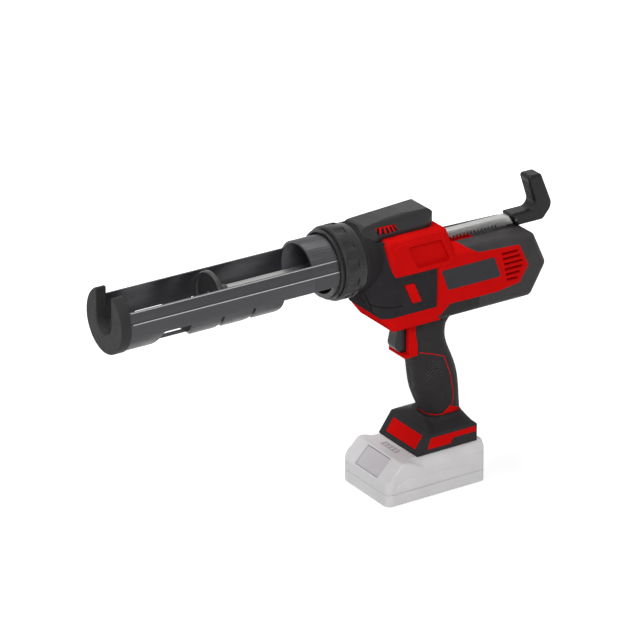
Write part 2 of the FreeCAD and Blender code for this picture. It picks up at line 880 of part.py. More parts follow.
def rack_rod():
    """Square bar with a row of rack teeth cut into its underside."""
    body = doc.addObject("PartDesign::Body", "rod")
    half = S.rod_width / 2
    section = sketch_on(body, "X", ROD_FRONT)
    outline(section, [(-half, ROD_TIPS), (half, ROD_TIPS), (half, ROD_TOP), (-half, ROD_TOP)])
    pad = body.newObject("PartDesign::Pad", "rod_pad")
    pad.Profile = section
    bind(pad, Length=S.rod_length)
    doc.recompute()
    plain_volume = pad.Shape.Volume
    gap = sketch_on(body, "Y", -half - S.overrun)
    root = ROD_TIPS + S.gear_module * (ADDENDUM_SHARE + ROOT_SHARE)
    below = ROD_TIPS - S.gear_module
    wide = RACK_PITCH / 4 + S.gear_module * FLANK_SHARE * 2 + S.tooth_backlash / 4
    narrow = RACK_PITCH / 4 - S.gear_module * ROOT_SHARE * FLANK_SHARE + S.tooth_backlash / 4
    before_pinion = (PINION_X - ROD_FRONT - S.rack_front_inset).value / RACK_PITCH.value
    middle = PINION_X - RACK_PITCH * round(before_pinion)
    outline(gap, [
        (middle - wide, below), (middle + wide, below), (middle + narrow, root), (middle - narrow, root),
    ])
    pocket = body.newObject("PartDesign::Pocket", "rod_gap")
    pocket.Profile = gap
    bind(pocket, Length=S.rod_width + S.overrun * 2)
    pattern = body.newObject("PartDesign::LinearPattern", "rod_teeth")
    pattern.Originals = [pocket]
    pattern.Direction = (gap, ["H_Axis"])
    bind(pattern, Length=RACK_PITCH * (S.rack_teeth - 1), Occurrences=S.rack_teeth)
    body.Tip = pattern
    doc.recompute()
    if pocket.Shape.Volume >= plain_volume or pattern.Shape.Volume >= pocket.Shape.Volume:
        raise RuntimeError("the rack teeth were not cut")
    hole = bar(
        "rod_screw_hole", "X", S.piston_screw_radius + S.running_gap, ROD_FRONT - S.overrun,
        PISTON_FRONT + S.piston_dish + S.piston_screw_length + S.body_gap, ROD_CENTRE,
    )
    pin = bar(
        "rod_pin_hole", "Y", S.hook_pin_radius, -half - S.overrun, half + S.overrun,
        (HOOK_PIN_X, ROD_MIDDLE),
    )
    node("rack_rod", cut("toothed_rod", body, hole, pin))


# Places of the drive
PINION_X = NOSE + S.pinion_front_inset
PINION_RADIUS = S.gear_module * S.pinion_teeth / 2
WHEEL_RADIUS = S.gear_module * S.wheel_teeth / 2
PINION_Z = RACK_LINE - PINION_RADIUS
WORM_Z = PINION_Z - WHEEL_RADIUS - S.worm_pitch_radius
WORM_CENTRE = (S.wheel_offset, WORM_Z)
HOOK_FRONT = ROD_REAR - S.hook_socket
HOOK_PIN_X = ROD_REAR - S.hook_socket / 2


def pull_hook():
    """Bent handle on the rear end of the rod, held by a cross pin."""
    low, top = ROD_TIPS - S.hook_cover, ROD_TOP + S.hook_cover
    rear = HOOK_FRONT + S.hook_reach
    crest = AXIS + S.hook_top_rise + S.rod_rise
    arm = prism("hook_bend", "Y", [
        (HOOK_FRONT, top, S.hook_corner / 2),
        (rear - S.hook_thick - S.hook_corner, top, S.hook_inner_bend),
        (rear - S.hook_thick - S.hook_lean - S.hook_corner, crest, S.hook_corner),
        (rear - S.hook_lean - S.hook_corner, crest, S.hook_corner),
        (rear, top, S.hook_outer_bend),
        (rear - S.hook_lean, low, S.hook_outer_bend / 2),
        (HOOK_FRONT + S.hook_nose_slant, low, S.hook_corner / 2),
    ], -S.hook_half_width, S.hook_half_width, rim=S.hook_round)
    half = S.rod_width / 2
    socket = block(
        "hook_socket_cut", (HOOK_FRONT - S.overrun, ROD_REAR), (-half, half), (ROD_TIPS, ROD_TOP)
    )
    pin_hole = bar(
        "hook_pin_hole", "Y", S.hook_pin_radius, -S.hook_half_width - S.overrun,
        S.hook_half_width + S.overrun, (HOOK_PIN_X, ROD_MIDDLE),
    )
    node("pull_hook", cut("hook", arm, socket, pin_hole))
    node("hook_pin", bar(
        "hook_pin_bar", "Y", S.hook_pin_radius, -S.hook_half_width + S.body_gap,
        S.hook_half_width - S.body_gap, (HOOK_PIN_X, ROD_MIDDLE),
    ))


# Places of the drive along the housing
GEAR_ROOM_FRONT = NOSE + S.gear_room_front_inset
HOUSING_REAR = S.housing_rear
HOUSING_TOP = AXIS + S.housing_top_rise
HOUSING_FLOOR = AXIS - S.housing_floor_drop
GEARBOX_REAR = HOUSING_REAR + S.gearbox_flange + S.gearbox_length
MOTOR_REAR = GEARBOX_REAR + S.motor_length
BEARING_BORE = S.shaft_radius + S.running_gap
WORM_BORE = S.worm_shaft_radius + S.running_gap
WORM_TIP = S.worm_pitch_radius + S.gear_module
WORM_ROOT = S.worm_pitch_radius - S.gear_module * ROOT_SHARE
CHANNEL_FLOOR = ROD_TIPS - S.hook_cover - S.channel_floor_gap
BODY_FLOOR = AXIS - S.body_floor_drop
DIAL_SPOT = (-S.cover_front + S.dial_front_inset, ZERO)
TRIGGER_MIDDLE = (S.trigger_top + S.trigger_low) / 2
WEB_LOW_SHARE = 0.41
WEB_FOOT_SHARE = 0.78
TRIGGER_WAIST_SHARE = 0.62
TRIGGER_BULGE_SHARE = 0.2
SCREW_SPOTS = [
    (S.top_screw_x, AXIS - S.top_screw_drop),
    (S.rear_screw_x, AXIS - S.rear_screw_drop),
    (S.floor_screw_x, AXIS - S.floor_screw_drop),
    (-S.chin_screw_x, AXIS - S.chin_screw_drop),
    (S.grip_screw_x, S.grip_screw_height),
    (S.heel_screw_x, S.heel_screw_height),
]


def gear_wire(teeth):
    """Involute outline with one tooth centred on the upward direction."""
    module = S.gear_module.value
    pressure = math.radians(20)
    pitch = module * teeth / 2
    base, tip, root = pitch * math.cos(pressure), pitch + module, pitch - module * ROOT_SHARE
    half_tooth = (math.pi * module / 2 - S.tooth_backlash.value / 2) / (2 * pitch)

    def half_angle(radius):
        angle = math.acos(min(1.0, base / radius))
        return half_tooth + math.tan(pressure) - pressure - math.tan(angle) + angle

    def at(radius, angle):
        return Vector(radius * math.sin(angle), 0, radius * math.cos(angle))

    steps = 5
    low = max(base, root)
    radii = [low + (tip - low) * step / (steps - 1) for step in range(steps)]
    edges = []
    for number in range(teeth):
        middle = 2 * math.pi * number / teeth
        following = 2 * math.pi * (number + 1) / teeth
        rising = [at(radius, middle - half_angle(radius)) for radius in radii]
        falling = [at(radius, middle + half_angle(radius)) for radius in reversed(radii)]
        root_half = half_angle(low)
        foot_in, foot_out = at(root, middle - root_half), at(root, middle + root_half)
        next_foot = at(root, following - root_half)
        if root < low:
            edges.append(Part.makeLine(foot_in, rising[0]))
        for flank in (rising, falling):
            curve = Part.BSplineCurve()
            curve.interpolate(flank)
            edges.append(curve.toShape())
            if flank is rising:
                edges.append(Part.Arc(rising[-1], at(tip, middle), falling[0]).toShape())
        if root < low:
            edges.append(Part.makeLine(falling[-1], foot_out))
        edges.append(Part.Arc(foot_out, at(root, (middle + following) / 2), next_foot).toShape())
    return Part.Wire(Part.__sortEdges__(edges))


def gear(name, teeth, low, high, bore):
    """Spur gear about Y at the drive shaft, between two places along Y."""
    blank = Part.Face(gear_wire(int(teeth.value))).extrude(Vector(0, (high - low).value, 0))
    hole = Part.makeCylinder(bore.value, (high - low).value, Vector(), Vector(0, 1, 0))
    thing = doc.addObject("Part::Feature", name)
    thing.Shape = blank.cut(hole)
    place(thing, PINION_X, low, PINION_Z)
    return thing


def drive_gears():
    """Shaft across the housing with the rack pinion and the worm wheel, and its two bearings."""
    half = S.pinion_width / 2
    wheel_low = S.wheel_offset - S.wheel_width / 2
    node("drive_pinion", gear("pinion", S.pinion_teeth, -half, half, S.shaft_radius))
    node("worm_wheel", gear("wheel", S.wheel_teeth, wheel_low, wheel_low + S.wheel_width, S.shaft_radius))
    spot = (PINION_X, PINION_Z)
    node("drive_shaft", bar("shaft", "Y", S.shaft_radius, -S.shaft_left, S.shaft_right, spot))
    bearings = []
    for label, inner, outer in (
        ("left", -S.gear_room_left - S.bearing_width, -S.gear_room_left),
        ("right", S.gear_room_right, S.gear_room_right + S.bearing_width),
    ):
        bearings.append(turned(f"bearing_{label}", "Y", [
            (inner, BEARING_BORE),
            (inner, S.bearing_radius),
            (outer, S.bearing_radius),
            (outer, BEARING_BORE),
        ], spot))
    node("shaft_bearings", group("bearings", bearings))


def worm():
    """Worm shaft below the wheel, with one thread, and the bearing at its front end."""
    pitch = math.pi * S.gear_module
    start = PINION_X - pitch * S.worm_turns / 2
    front = GEAR_ROOM_FRONT - S.worm_bearing_width
    rear = HOUSING_REAR + S.gearbox_flange - S.body_gap
    body = turned("worm_screw", "X", [
        (front + S.body_gap, ZERO),
        (front + S.body_gap, S.worm_shaft_radius),
        (start - pitch / 2, S.worm_shaft_radius),
        (start - pitch / 2, WORM_ROOT),
        (start + pitch * (S.worm_turns + 0.5), WORM_ROOT),
        (start + pitch * (S.worm_turns + 0.5), S.worm_shaft_radius),
        (rear, S.worm_shaft_radius),
        (rear, ZERO),
    ], WORM_CENTRE)
    ridge = sketch_on(body, "Y", ZERO)
    half = (pitch - S.worm_backlash) / 4
    crest = half - S.gear_module * FLANK_SHARE
    foot = half + S.gear_module * ROOT_SHARE * FLANK_SHARE
    outline(ridge, [
        (start - foot, WORM_ROOT - S.running_gap),
        (start + foot, WORM_ROOT - S.running_gap),
        (start + crest, WORM_TIP),
        (start - crest, WORM_TIP),
    ])
    thread = body.newObject("PartDesign::AdditiveHelix", "worm_thread")
    thread.Profile = ridge
    thread.ReferenceAxis = (ridge, ["H_Axis"])
    thread.Mode = 0
    bind(thread, Pitch=pitch, Height=pitch * S.worm_turns)
    body.Tip = thread
    node("worm", body)
    node("worm_bearing", turned("worm_bush", "X", [
        (front, WORM_BORE),
        (front, S.bearing_radius),
        (GEAR_ROOM_FRONT, S.bearing_radius),
        (GEAR_ROOM_FRONT, WORM_BORE),
    ], WORM_CENTRE))


def gear_motor():
    """Reduction gearbox on the rear of the gear housing, motor can and rear cap."""
    flange = HOUSING_REAR + S.gearbox_flange
    node("gearbox", turned("gearbox_case", "X", [
        (HOUSING_REAR, WORM_BORE),
        (HOUSING_REAR, S.gearbox_flange_radius),
        (flange, S.gearbox_flange_radius),
        (flange, S.gearbox_radius),
        (GEARBOX_REAR, S.gearbox_radius),
        (GEARBOX_REAR, ZERO),
        (flange, ZERO),
        (flange, WORM_BORE),
    ], WORM_CENTRE))
    neck = MOTOR_REAR - S.motor_cap_length
    node("motor_can", turned("motor_body_can", "X", [
        (GEARBOX_REAR, ZERO),
        (GEARBOX_REAR, S.motor_radius - S.motor_bevel),
        (GEARBOX_REAR + S.motor_bevel, S.motor_radius),
        (neck, S.motor_radius),
        (neck, ZERO),
    ], WORM_CENTRE))
    node("motor_end_cap", turned("motor_cap", "X", [
        (neck, ZERO),
        (neck, S.motor_radius - S.running_gap),
        (neck + S.motor_cap_length / 2, S.motor_cap_radius),
        (MOTOR_REAR, S.motor_cap_radius),
        (MOTOR_REAR, S.motor_boss_radius),
        (MOTOR_REAR + S.motor_cap_length / 2, S.motor_boss_radius),
        (MOTOR_REAR + S.motor_cap_length / 2, ZERO),
    ], WORM_CENTRE))


def side_pair(name, corners, inner, outer, rim=None, bevel=False):
    """The same outline carried outwards on the left and on the right side."""
    left = prism(f"{name}_left", "Y", corners, -outer, -inner, rim, "low", bevel)
    right = prism(f"{name}_right", "Y", corners, inner, outer, rim, "high", bevel)
    return left, right


def bow(name, half_width):
    """Upright block whose front narrows in plan like a bow."""
    return prism(name, "Z", [
        (S.body_rear, -half_width),
        (S.body_rear, half_width),
        (NOSE + S.bow_length, half_width, S.bow_corner),
        (NOSE, S.bow_front_half_width, S.bow_corner / 2),
        (NOSE, -S.bow_front_half_width, S.bow_corner / 2),
        (NOSE + S.bow_length, -half_width, S.bow_corner),
    ], ZERO, HOUSING_TOP + S.overrun)


def saddle():
    """Red frame over the drive: two side cheeks with a framed recess, and a rear wall for the rod."""
    top, low = AXIS + S.saddle_top_rise, AXIS - S.saddle_low_drop
    blank = prism("saddle_blank", "Y", [
        (-S.saddle_front_top, top, S.saddle_corner),
        (S.saddle_rear_top, top, S.saddle_corner),
        (S.saddle_rear_low, AXIS - S.deck_drop),
        (S.saddle_rear_low, low),
        (-S.saddle_front_low, low, S.saddle_corner),
    ], -S.saddle_half_width, S.saddle_half_width, rim=S.saddle_round)
    inner = S.saddle_half_width - S.saddle_wall
    room = block(
        "saddle_room", (NOSE, S.saddle_rear_low - S.saddle_rear_wall), (-inner, inner),
        (low - S.overrun, HOUSING_TOP),
    )
    recess_top, recess_low = AXIS + S.recess_rise, AXIS + S.recess_rise - S.recess_height

    def leaning(grow, reach, radius):
        slip = grow * S.recess_slant / S.recess_height
        left, right = -S.recess_front - reach, -S.recess_front + S.recess_length
        return [
            (left - grow - slip, recess_top + grow, radius),
            (right + grow - slip, recess_top + grow, radius),
            (right + S.recess_slant + grow + slip, recess_low - grow, radius),
            (left + S.recess_slant - grow + slip, recess_low - grow, radius),
        ]

    outer = S.saddle_half_width + S.frame_proud
    frames = side_pair(
        "saddle_frame", leaning(S.frame_width, S.frame_reach, S.saddle_corner), inner + S.recess_depth, outer,
        rim=S.frame_proud,
    )
    recesses = side_pair(
        "saddle_recess", leaning(ZERO, ZERO, S.recess_corner), S.saddle_half_width - S.recess_depth,
        outer + S.overrun,
    )
    solid = cut("saddle_solid", fuse("saddle_framed", blank, *frames), room)
    return solid, recesses


def gear_housing(saddle_solid, dial_rooms):
    """Black drive housing: round nose with a spigot for the lock ring, bowed body and side panels."""
    chin = HOUSING_FLOOR + S.housing_chin_rise
    nose_rear = NOSE + S.nose_lip
    hull = prism("housing_block", "Y", [
        (nose_rear, HOUSING_TOP, S.housing_corner),
        (HOUSING_REAR, HOUSING_TOP),
        (HOUSING_REAR, HOUSING_FLOOR),
        (-S.housing_keel_front, HOUSING_FLOOR, S.housing_corner),
        (-S.housing_chin_front, chin, S.housing_corner),
        (nose_rear, AXIS - S.nose_radius),
    ], -S.housing_half_width, S.housing_half_width, rim=S.housing_round)
    body = common("housing_body", hull, bow("housing_bow", S.saddle_half_width))
    spigot = FLANGE_REAR + S.body_gap
    taper = NOSE + S.nose_length
    nose = turned("housing_nose", "X", [
        (spigot, ZERO),
        (spigot, S.flange_radius),
        (NOSE, S.flange_radius),
        (NOSE, S.nose_lip_radius),
        (nose_rear, S.nose_lip_radius),
        (nose_rear, S.nose_radius),
        (taper, S.nose_radius),
        (taper + S.nose_taper, S.nose_bore),
        (taper + S.nose_taper, ZERO),
    ], CENTRE)
    panel_top = AXIS - S.panel_drop
    panel_low = panel_top - S.panel_height
    panel = prism("housing_panel", "Y", [
        (-S.panel_front, panel_top, S.panel_corner),
        (S.panel_rear, panel_top),
        (S.panel_rear, panel_low),
        (-S.panel_front + S.panel_slant, panel_low, S.panel_corner),
    ], -S.panel_half_width, S.panel_half_width, rim=S.panel_round, bevel=True)
    nose_bore_rear = spigot + S.nose_bore_depth
    half = S.rod_width / 2 + S.rod_gap
    channel = (ROD_TIPS - S.rod_gap, ROD_TOP + S.rod_gap)
    rooms = [
        bar("nose_room", "X", S.nose_bore, spigot - S.overrun, nose_bore_rear, CENTRE),
        block("rod_channel", (spigot, HOUSING_REAR + S.overrun), (-half, half), channel),
        block(
            "gear_room", (GEAR_ROOM_FRONT, HOUSING_REAR - S.housing_wall),
            (-S.gear_room_left, S.gear_room_right),
            (WORM_Z - WORM_TIP - S.gear_module, HOUSING_TOP + S.overrun),
        ),
        bar(
            "bush_seat", "X", S.bush_radius, nose_bore_rear - S.overrun, nose_bore_rear + S.bush_length,
            CENTRE,
        ),
        bar(
            "worm_seat", "X", S.bearing_radius, GEAR_ROOM_FRONT - S.worm_bearing_width,
            GEAR_ROOM_FRONT + S.overrun, WORM_CENTRE,
        ),
        bar("worm_port", "X", WORM_BORE, GEAR_ROOM_FRONT, HOUSING_REAR + S.overrun, WORM_CENTRE),
        bar(
            "shaft_seat", "Y", S.bearing_radius, -S.gear_room_left - S.bearing_width,
            S.gear_room_right + S.bearing_width, (PINION_X, PINION_Z),
        ),
        lock_button_outline("button_pocket", S.body_gap, S.button_travel + S.body_gap),
        *dial_rooms,
    ]
    solid = fuse("housing_solid", body, nose, panel)
    node("gear_housing", cut("housing", solid, saddle_solid, *rooms))
    return solid


def lock_button_outline(name, gap, extra):
    """The leaning button, or with a gap and extra depth the pocket that it slides in."""
    top = AXIS - S.button_drop
    low = top - S.button_height
    left, right = -S.button_front, -S.button_front + S.button_width
    slip = gap * S.button_slant / S.button_height
    face = -S.panel_half_width - S.button_proud
    is_pocket = as_size(extra).value > 0
    return prism(name, "Y", [
        (left - gap - slip, top + gap, S.button_corner),
        (right + gap - slip, top + gap, S.button_corner),
        (right + S.button_slant + gap + slip, low - gap, S.button_corner),
        (left + S.button_slant - gap + slip, low - gap, S.button_corner),
    ], face, face + S.button_depth + extra, rim=None if is_pocket else S.button_round, rim_at="low")


def rod_bushes():
    """Guides for the push rod: a round one in the nose and a square one in the rear wall."""
    front = FLANGE_REAR + S.body_gap + S.nose_bore_depth
    half = S.rod_width / 2 + S.running_gap * 2
    window = (ROD_TIPS - S.running_gap * 2, ROD_TOP + S.running_gap * 2)
    node("rod_bush_front", cut(
        "front_bush",
        bar("front_bush_ring", "X", S.bush_radius, front, front + S.bush_length, CENTRE),
        block(
            "front_bush_way", (front - S.overrun, front + S.bush_length + S.overrun), (-half, half), window
        ),
    ))
    wall_front = S.saddle_rear_low - S.saddle_rear_wall
    node("rod_bush_rear", cut(
        "rear_bush",
        rear_bush_block("rear_bush_blank"),
        block(
            "rear_bush_way", (wall_front - S.overrun, wall_front + S.rear_bush_length + S.overrun),
            (-half, half), window,
        ),
    ))


def rear_bush_block(name):
    front, half = S.saddle_rear_low - S.saddle_rear_wall, S.rear_bush_half
    return block(
        name, (front, front + S.rear_bush_length), (-half, half), (ROD_MIDDLE - half, ROD_MIDDLE + half)
    )


def cover_section(climb):
    """Section of the hump across X: upright sides, a slanted groove on each side and a rounded ridge."""
    half = S.cover_half_width
    low = AXIS + S.groove_low_rise + climb
    inner, high = half - S.groove_width, low + S.groove_width
    ridge, crest = S.cover_ridge_half_width, AXIS + S.cover_ridge_rise + climb
    right_side = [(half, HOUSING_TOP), (half, low), (inner, high), (ridge, crest, S.cover_round)]
    left_side = [(-across, *rest) for across, *rest in reversed(right_side)]
    return right_side + left_side


def top_cover(housing_solid, dial_rooms):
    """Hump over the drive with a slanted groove along each side and the room of the speed dial."""
    front, rear, top = -S.cover_front, S.cover_rear, AXIS + S.cover_top_rise
    ridge = loft("cover_ridge", "X", [(front, cover_section(ZERO)), (rear, cover_section(S.groove_climb))])
    side = prism("cover_side", "Y", [
        (front, HOUSING_TOP),
        (front, AXIS + S.cover_front_rise, S.cover_corner),
        (front + S.cover_brow_inset, AXIS + S.cover_brow_rise, S.cover_corner),
        (front + S.cover_top_inset, top, S.cover_bend),
        (rear - S.cover_rear_slope, top, S.cover_corner),
        (rear, AXIS + S.cover_rear_rise, S.cover_corner),
        (rear, HOUSING_TOP),
    ], -FAR, FAR)
    half = S.cover_half_width
    plan = prism("cover_plan", "Z", [
        (front, -half), (rear, -half, S.cover_plan_corner), (rear, half, S.cover_plan_corner), (front, half),
    ], HOUSING_TOP, top)
    hump = common("cover_hump", ridge, side, plan)
    node("top_cover", cut("cover", hump, housing_solid, *dial_rooms))
    return hump


def dial_cone(name, grow, low, high):
    """Cone round the dial's middle line, as wide as the dial and a little more."""
    wide = S.dial_radius + grow
    return turned(name, "Z", [(low, ZERO), (low, wide), (high, wide - S.dial_lean), (high, ZERO)], DIAL_SPOT)


def speed_dial_rooms():
    """Rooms for the speed dial and its sensor, cut from the cover and from the root of the nose."""
    low, gap = AXIS + S.dial_low_rise, S.body_gap
    wheel = dial_cone("dial_room", gap * 2, low - gap, low + S.dial_thick + gap)
    return wheel, bar("sensor_room", "Z", S.sensor_radius + gap, HOUSING_TOP, low, DIAL_SPOT)


def speed_dial():
    """Ribbed thumb wheel that stands out of the grooves on both sides, and the sensor that carries it."""
    low = AXIS + S.dial_low_rise
    high = low + S.dial_thick
    inner = S.dial_radius - S.dial_rib_depth
    bore = S.dial_shaft_radius + S.running_gap
    sensor_top = HOUSING_TOP + S.sensor_height
    wheel = turned("dial_wheel", "Z", [
        (sensor_top + S.body_gap, bore),
        (sensor_top + S.body_gap, S.dial_hub_radius),
        (low, S.dial_hub_radius),
        (low, inner),
        (high, inner - S.dial_lean),
        (high, bore),
    ], DIAL_SPOT)
    count = int(S.dial_rib_count.value)
    ribs = []
    for number in range(count):
        rib = block(
            f"dial_rib_{number}", (ZERO, S.dial_radius), (ZERO, S.dial_rib_width), (low, high)
        )
        angle = 360 * number / count
        rib.Placement = Placement(Vector(), Rotation(Vector(0, 0, 1), angle))
        place(rib, *DIAL_SPOT, low)
        ribs.append(rib)
    ring = cut(
        "dial_rib_ring",
        common("dial_rib_cone", fuse("dial_ribs", *ribs), dial_cone("dial_form", ZERO, low, high)),
        bar("dial_rib_core", "Z", S.dial_hub_radius, low - S.overrun, high + S.overrun, DIAL_SPOT),
    )
    node("speed_dial", fuse("dial", wheel, ring))
    sensor = turned("sensor_turn", "Z", [
        (HOUSING_TOP, ZERO),
        (HOUSING_TOP, S.sensor_radius),
        (sensor_top, S.sensor_radius),
        (sensor_top, S.dial_shaft_radius),
        (high - S.body_gap, S.dial_shaft_radius),
        (high - S.body_gap, ZERO),
    ], DIAL_SPOT)
    node("dial_sensor", sensor)


def motor_body(name, inset):
    """Side outline of the motor body, drawn in by an inset, with its long edges rounded."""
    deck, floor = AXIS - S.deck_drop, AXIS - S.body_floor_drop
    rear = S.body_rear - inset
    return prism(name, "Y", [
        (S.body_front, deck - inset),
        (S.body_rear - S.body_shoulder_inset - inset / 2, deck - S.deck_fall - inset, S.body_corner),
        (rear, AXIS - S.body_waist_drop, S.body_corner),
        (S.body_rear - S.body_heel_inset - inset / 2, floor + inset, S.body_corner),
        (S.body_front, floor + inset),
    ], -S.body_half_width + inset, S.body_half_width - inset, rim=S.body_round - inset)


# Shares of the grip's height, depth and half width: (height from the top, front, rear, half width)
GRIP_SHARES = [
    (0.000, -0.42, 0.86, 0.97),
    (0.143, -0.41, 0.81, 0.95),
    (0.286, -0.32, 0.81, 0.93),
    (0.429, -0.20, 0.99, 0.94),
    (0.571, -0.13, 1.15, 0.98),
    (0.714, -0.03, 1.22, 1.00),
    (0.857, 0.16, 1.26, 0.97),
    (1.000, 0.29, 1.31, 0.93),
]


def grip(name, inset):
    """Handle form through rounded sections, drawn in by an inset."""
    height = S.grip_top - S.grip_bottom
    sections = []
    for down, front, rear, wide in GRIP_SHARES:
        low, high = S.grip_depth * front + inset, S.grip_depth * rear - inset
        half = S.grip_half_width * wide - inset
        radius = S.grip_half_width * wide * S.grip_corner_share - inset
        sections.append((S.grip_top - height * down, [
            (low, -half, radius), (high, -half, radius), (high, half, radius), (low, half, radius),
        ]))
    return loft(name, "Z", sections)


def chin():
    """Red band under the gear housing, which narrows to the front."""
    floor, top = AXIS - S.chin_floor_drop, HOUSING_FLOOR + S.chin_round
    band = prism("chin_band", "Y", [
        (-S.chin_front, top),
        (-S.chin_keel, floor, S.chin_corner),
        (S.chin_rear, floor),
        (S.chin_rear, top),
    ], -S.chin_half_width, S.chin_half_width, rim=S.chin_round)
    return common("chin", band, bow("chin_bow", S.chin_half_width))


def trigger_frame():
    """Red upright behind the trigger, with a small lip under it."""
    lip = S.frame_low - S.frame_lip_depth
    return prism("trigger_frame", "Y", [
        (-S.frame_front, S.grip_top),
        (-S.frame_rear, S.grip_top),
        (-S.frame_rear, lip),
        (-S.frame_front - S.frame_lip, lip),
        (-S.frame_front - S.frame_lip, S.frame_low),
        (-S.frame_front, S.frame_low),
    ], -S.frame_half_width, S.frame_half_width, rim=S.frame_round)


def rear_bumper(outer, inner):
    """Black skin over the top, rear and underside of the motor body, with a window on each side."""
    floor, top, rear = BODY_FLOOR - S.overrun, AXIS + S.rod_rise, S.body_rear + S.overrun
    zone = prism("bumper_zone", "Y", [
        (S.bumper_wing_front, top),
        (S.bumper_wing_rear, AXIS - S.bumper_wing_drop),
        (S.bumper_eye_top, AXIS - S.bumper_eye_drop),
        (S.bumper_eye_rear, AXIS - S.bumper_eye_mid_drop),
        (S.bumper_eye_low, AXIS - S.bumper_eye_low_drop),
        (S.bumper_lip, AXIS - S.bumper_lip_drop),
        (S.bumper_split, AXIS - S.bumper_lip_drop),
        (S.bumper_split, floor),
        (rear, floor),
        (rear, top),
    ], -FAR, FAR)
    return cut("bumper_skin", common("bumper_outer", outer, zone), inner)


def grip_cover(outer_grip, core, outer, inner, neighbours):
    """Soft black cover of the handle, with a tongue up the motor body and a web behind the handle."""
    floor = BODY_FLOOR - S.overrun
    band = block(
        "cover_band", (NOSE, S.body_rear), (-FAR, FAR), (S.grip_cover_low, S.grip_top)
    )
    tongue_zone = prism("tongue_zone", "Y", [
        (S.bumper_split, floor),
        (S.bumper_split, AXIS - S.bumper_lip_drop),
        (S.tongue_front, AXIS - S.tongue_drop),
        (S.tongue_front - S.tongue_slant, floor),
    ], -FAR, FAR)
    web_low = S.grip_top - (S.grip_top - S.grip_bottom) * WEB_LOW_SHARE
    web_foot = S.grip_depth * WEB_FOOT_SHARE
    web = prism("grip_web", "Y", [
        (ZERO, BODY_FLOOR + S.web_bend),
        (S.web_rear, BODY_FLOOR + S.web_bend),
        (S.web_rear, BODY_FLOOR),
        (web_foot, BODY_FLOOR, S.web_bend),
        (web_foot - S.web_round, web_low),
        (ZERO, web_low),
    ], -S.web_half_width, S.web_half_width, rim=S.web_round)
    blank = fuse(
        "grip_cover_blank", common("cover_skin", outer_grip, band), common("tongue", outer, tongue_zone),
        web,
    )
    return cut("grip_cover", blank, core, inner, *neighbours)


def body_shells(housing_solid, hump, red_saddle, recesses):
    """Red shells, black bumper and black grip covers, all split along the middle. Returns the grip's form."""
    outer = motor_body("body_outer", ZERO)
    inner = motor_body("body_inner", S.bumper_skin)
    outer_grip, core = grip("grip_outer", ZERO), grip("grip_core", S.grip_skin)
    collar_zone = block("collar_zone", (NOSE, S.body_rear), (-FAR, FAR), (ZERO, S.grip_cover_low))
    spur_zone = prism("spur_zone", "Y", [
        (S.spur_front, S.grip_cover_low),
        (S.spur_tip, S.grip_cover_low + S.spur_rise),
        (S.spur_rear, S.grip_cover_low),
    ], -FAR, FAR)
    collar = common("grip_collar", outer_grip, fuse("collar_zones", collar_zone, spur_zone))
    red_chin, red_frame, slot = chin(), trigger_frame(), trigger_slot()
    half_channel = S.channel_half_width
    channel = block(
        "deck_channel", (S.saddle_rear_low - S.overrun, S.body_rear + S.overrun),
        (-half_channel, half_channel), (CHANNEL_FLOOR, AXIS + FAR),
    )
    accesses, shanks, screws = screw_set()
    bumper = node("rear_bumper", cut("bumper", rear_bumper(outer, inner), channel, *accesses))
    neighbours = [red_chin, red_frame, collar, housing_solid, slot, bumper]
    cover = grip_cover(outer_grip, core, outer, inner, neighbours)
    left_half = block("left_half", (NOSE, S.body_rear + S.overrun), (-FAR, ZERO), (ZERO, AXIS + FAR))
    right_half = block("right_half", (NOSE, S.body_rear + S.overrun), (ZERO, FAR), (ZERO, AXIS + FAR))
    node("grip_cover_left", common("cover_left", cover, left_half))
    node("grip_cover_right", cut("cover_right", common("cover_right_blank", cover, right_half), *accesses))
    red = cut(
        "red_blank", fuse("red_union", outer, core, collar, red_chin, red_frame), housing_solid, bumper,
        cover, *shell_rooms(),
    )
    half = S.rod_width / 2 + S.rod_port_gap
    port = block(
        "rod_port", (HOUSING_REAR, S.saddle_rear_low + S.overrun), (-half, half),
        (ROD_TIPS - S.rod_port_gap, ROD_TOP + S.rod_port_gap),
    )
    whole = cut(
        "red_whole", fuse("red_joined", red, red_saddle), hump, channel, port, slot, rear_bush_block("bush"),
        *recesses, *vents(),
    )
    plate = name_plate()
    node("left_shell", cut("shell_left", common("shell_left_half", whole, left_half), plate, *shanks))
    right = common("shell_right_half", whole, right_half)
    node("right_shell", cut("shell_right", right, *accesses, *shanks))
    node("shell_screws", group("screws", screws))
    return outer_grip


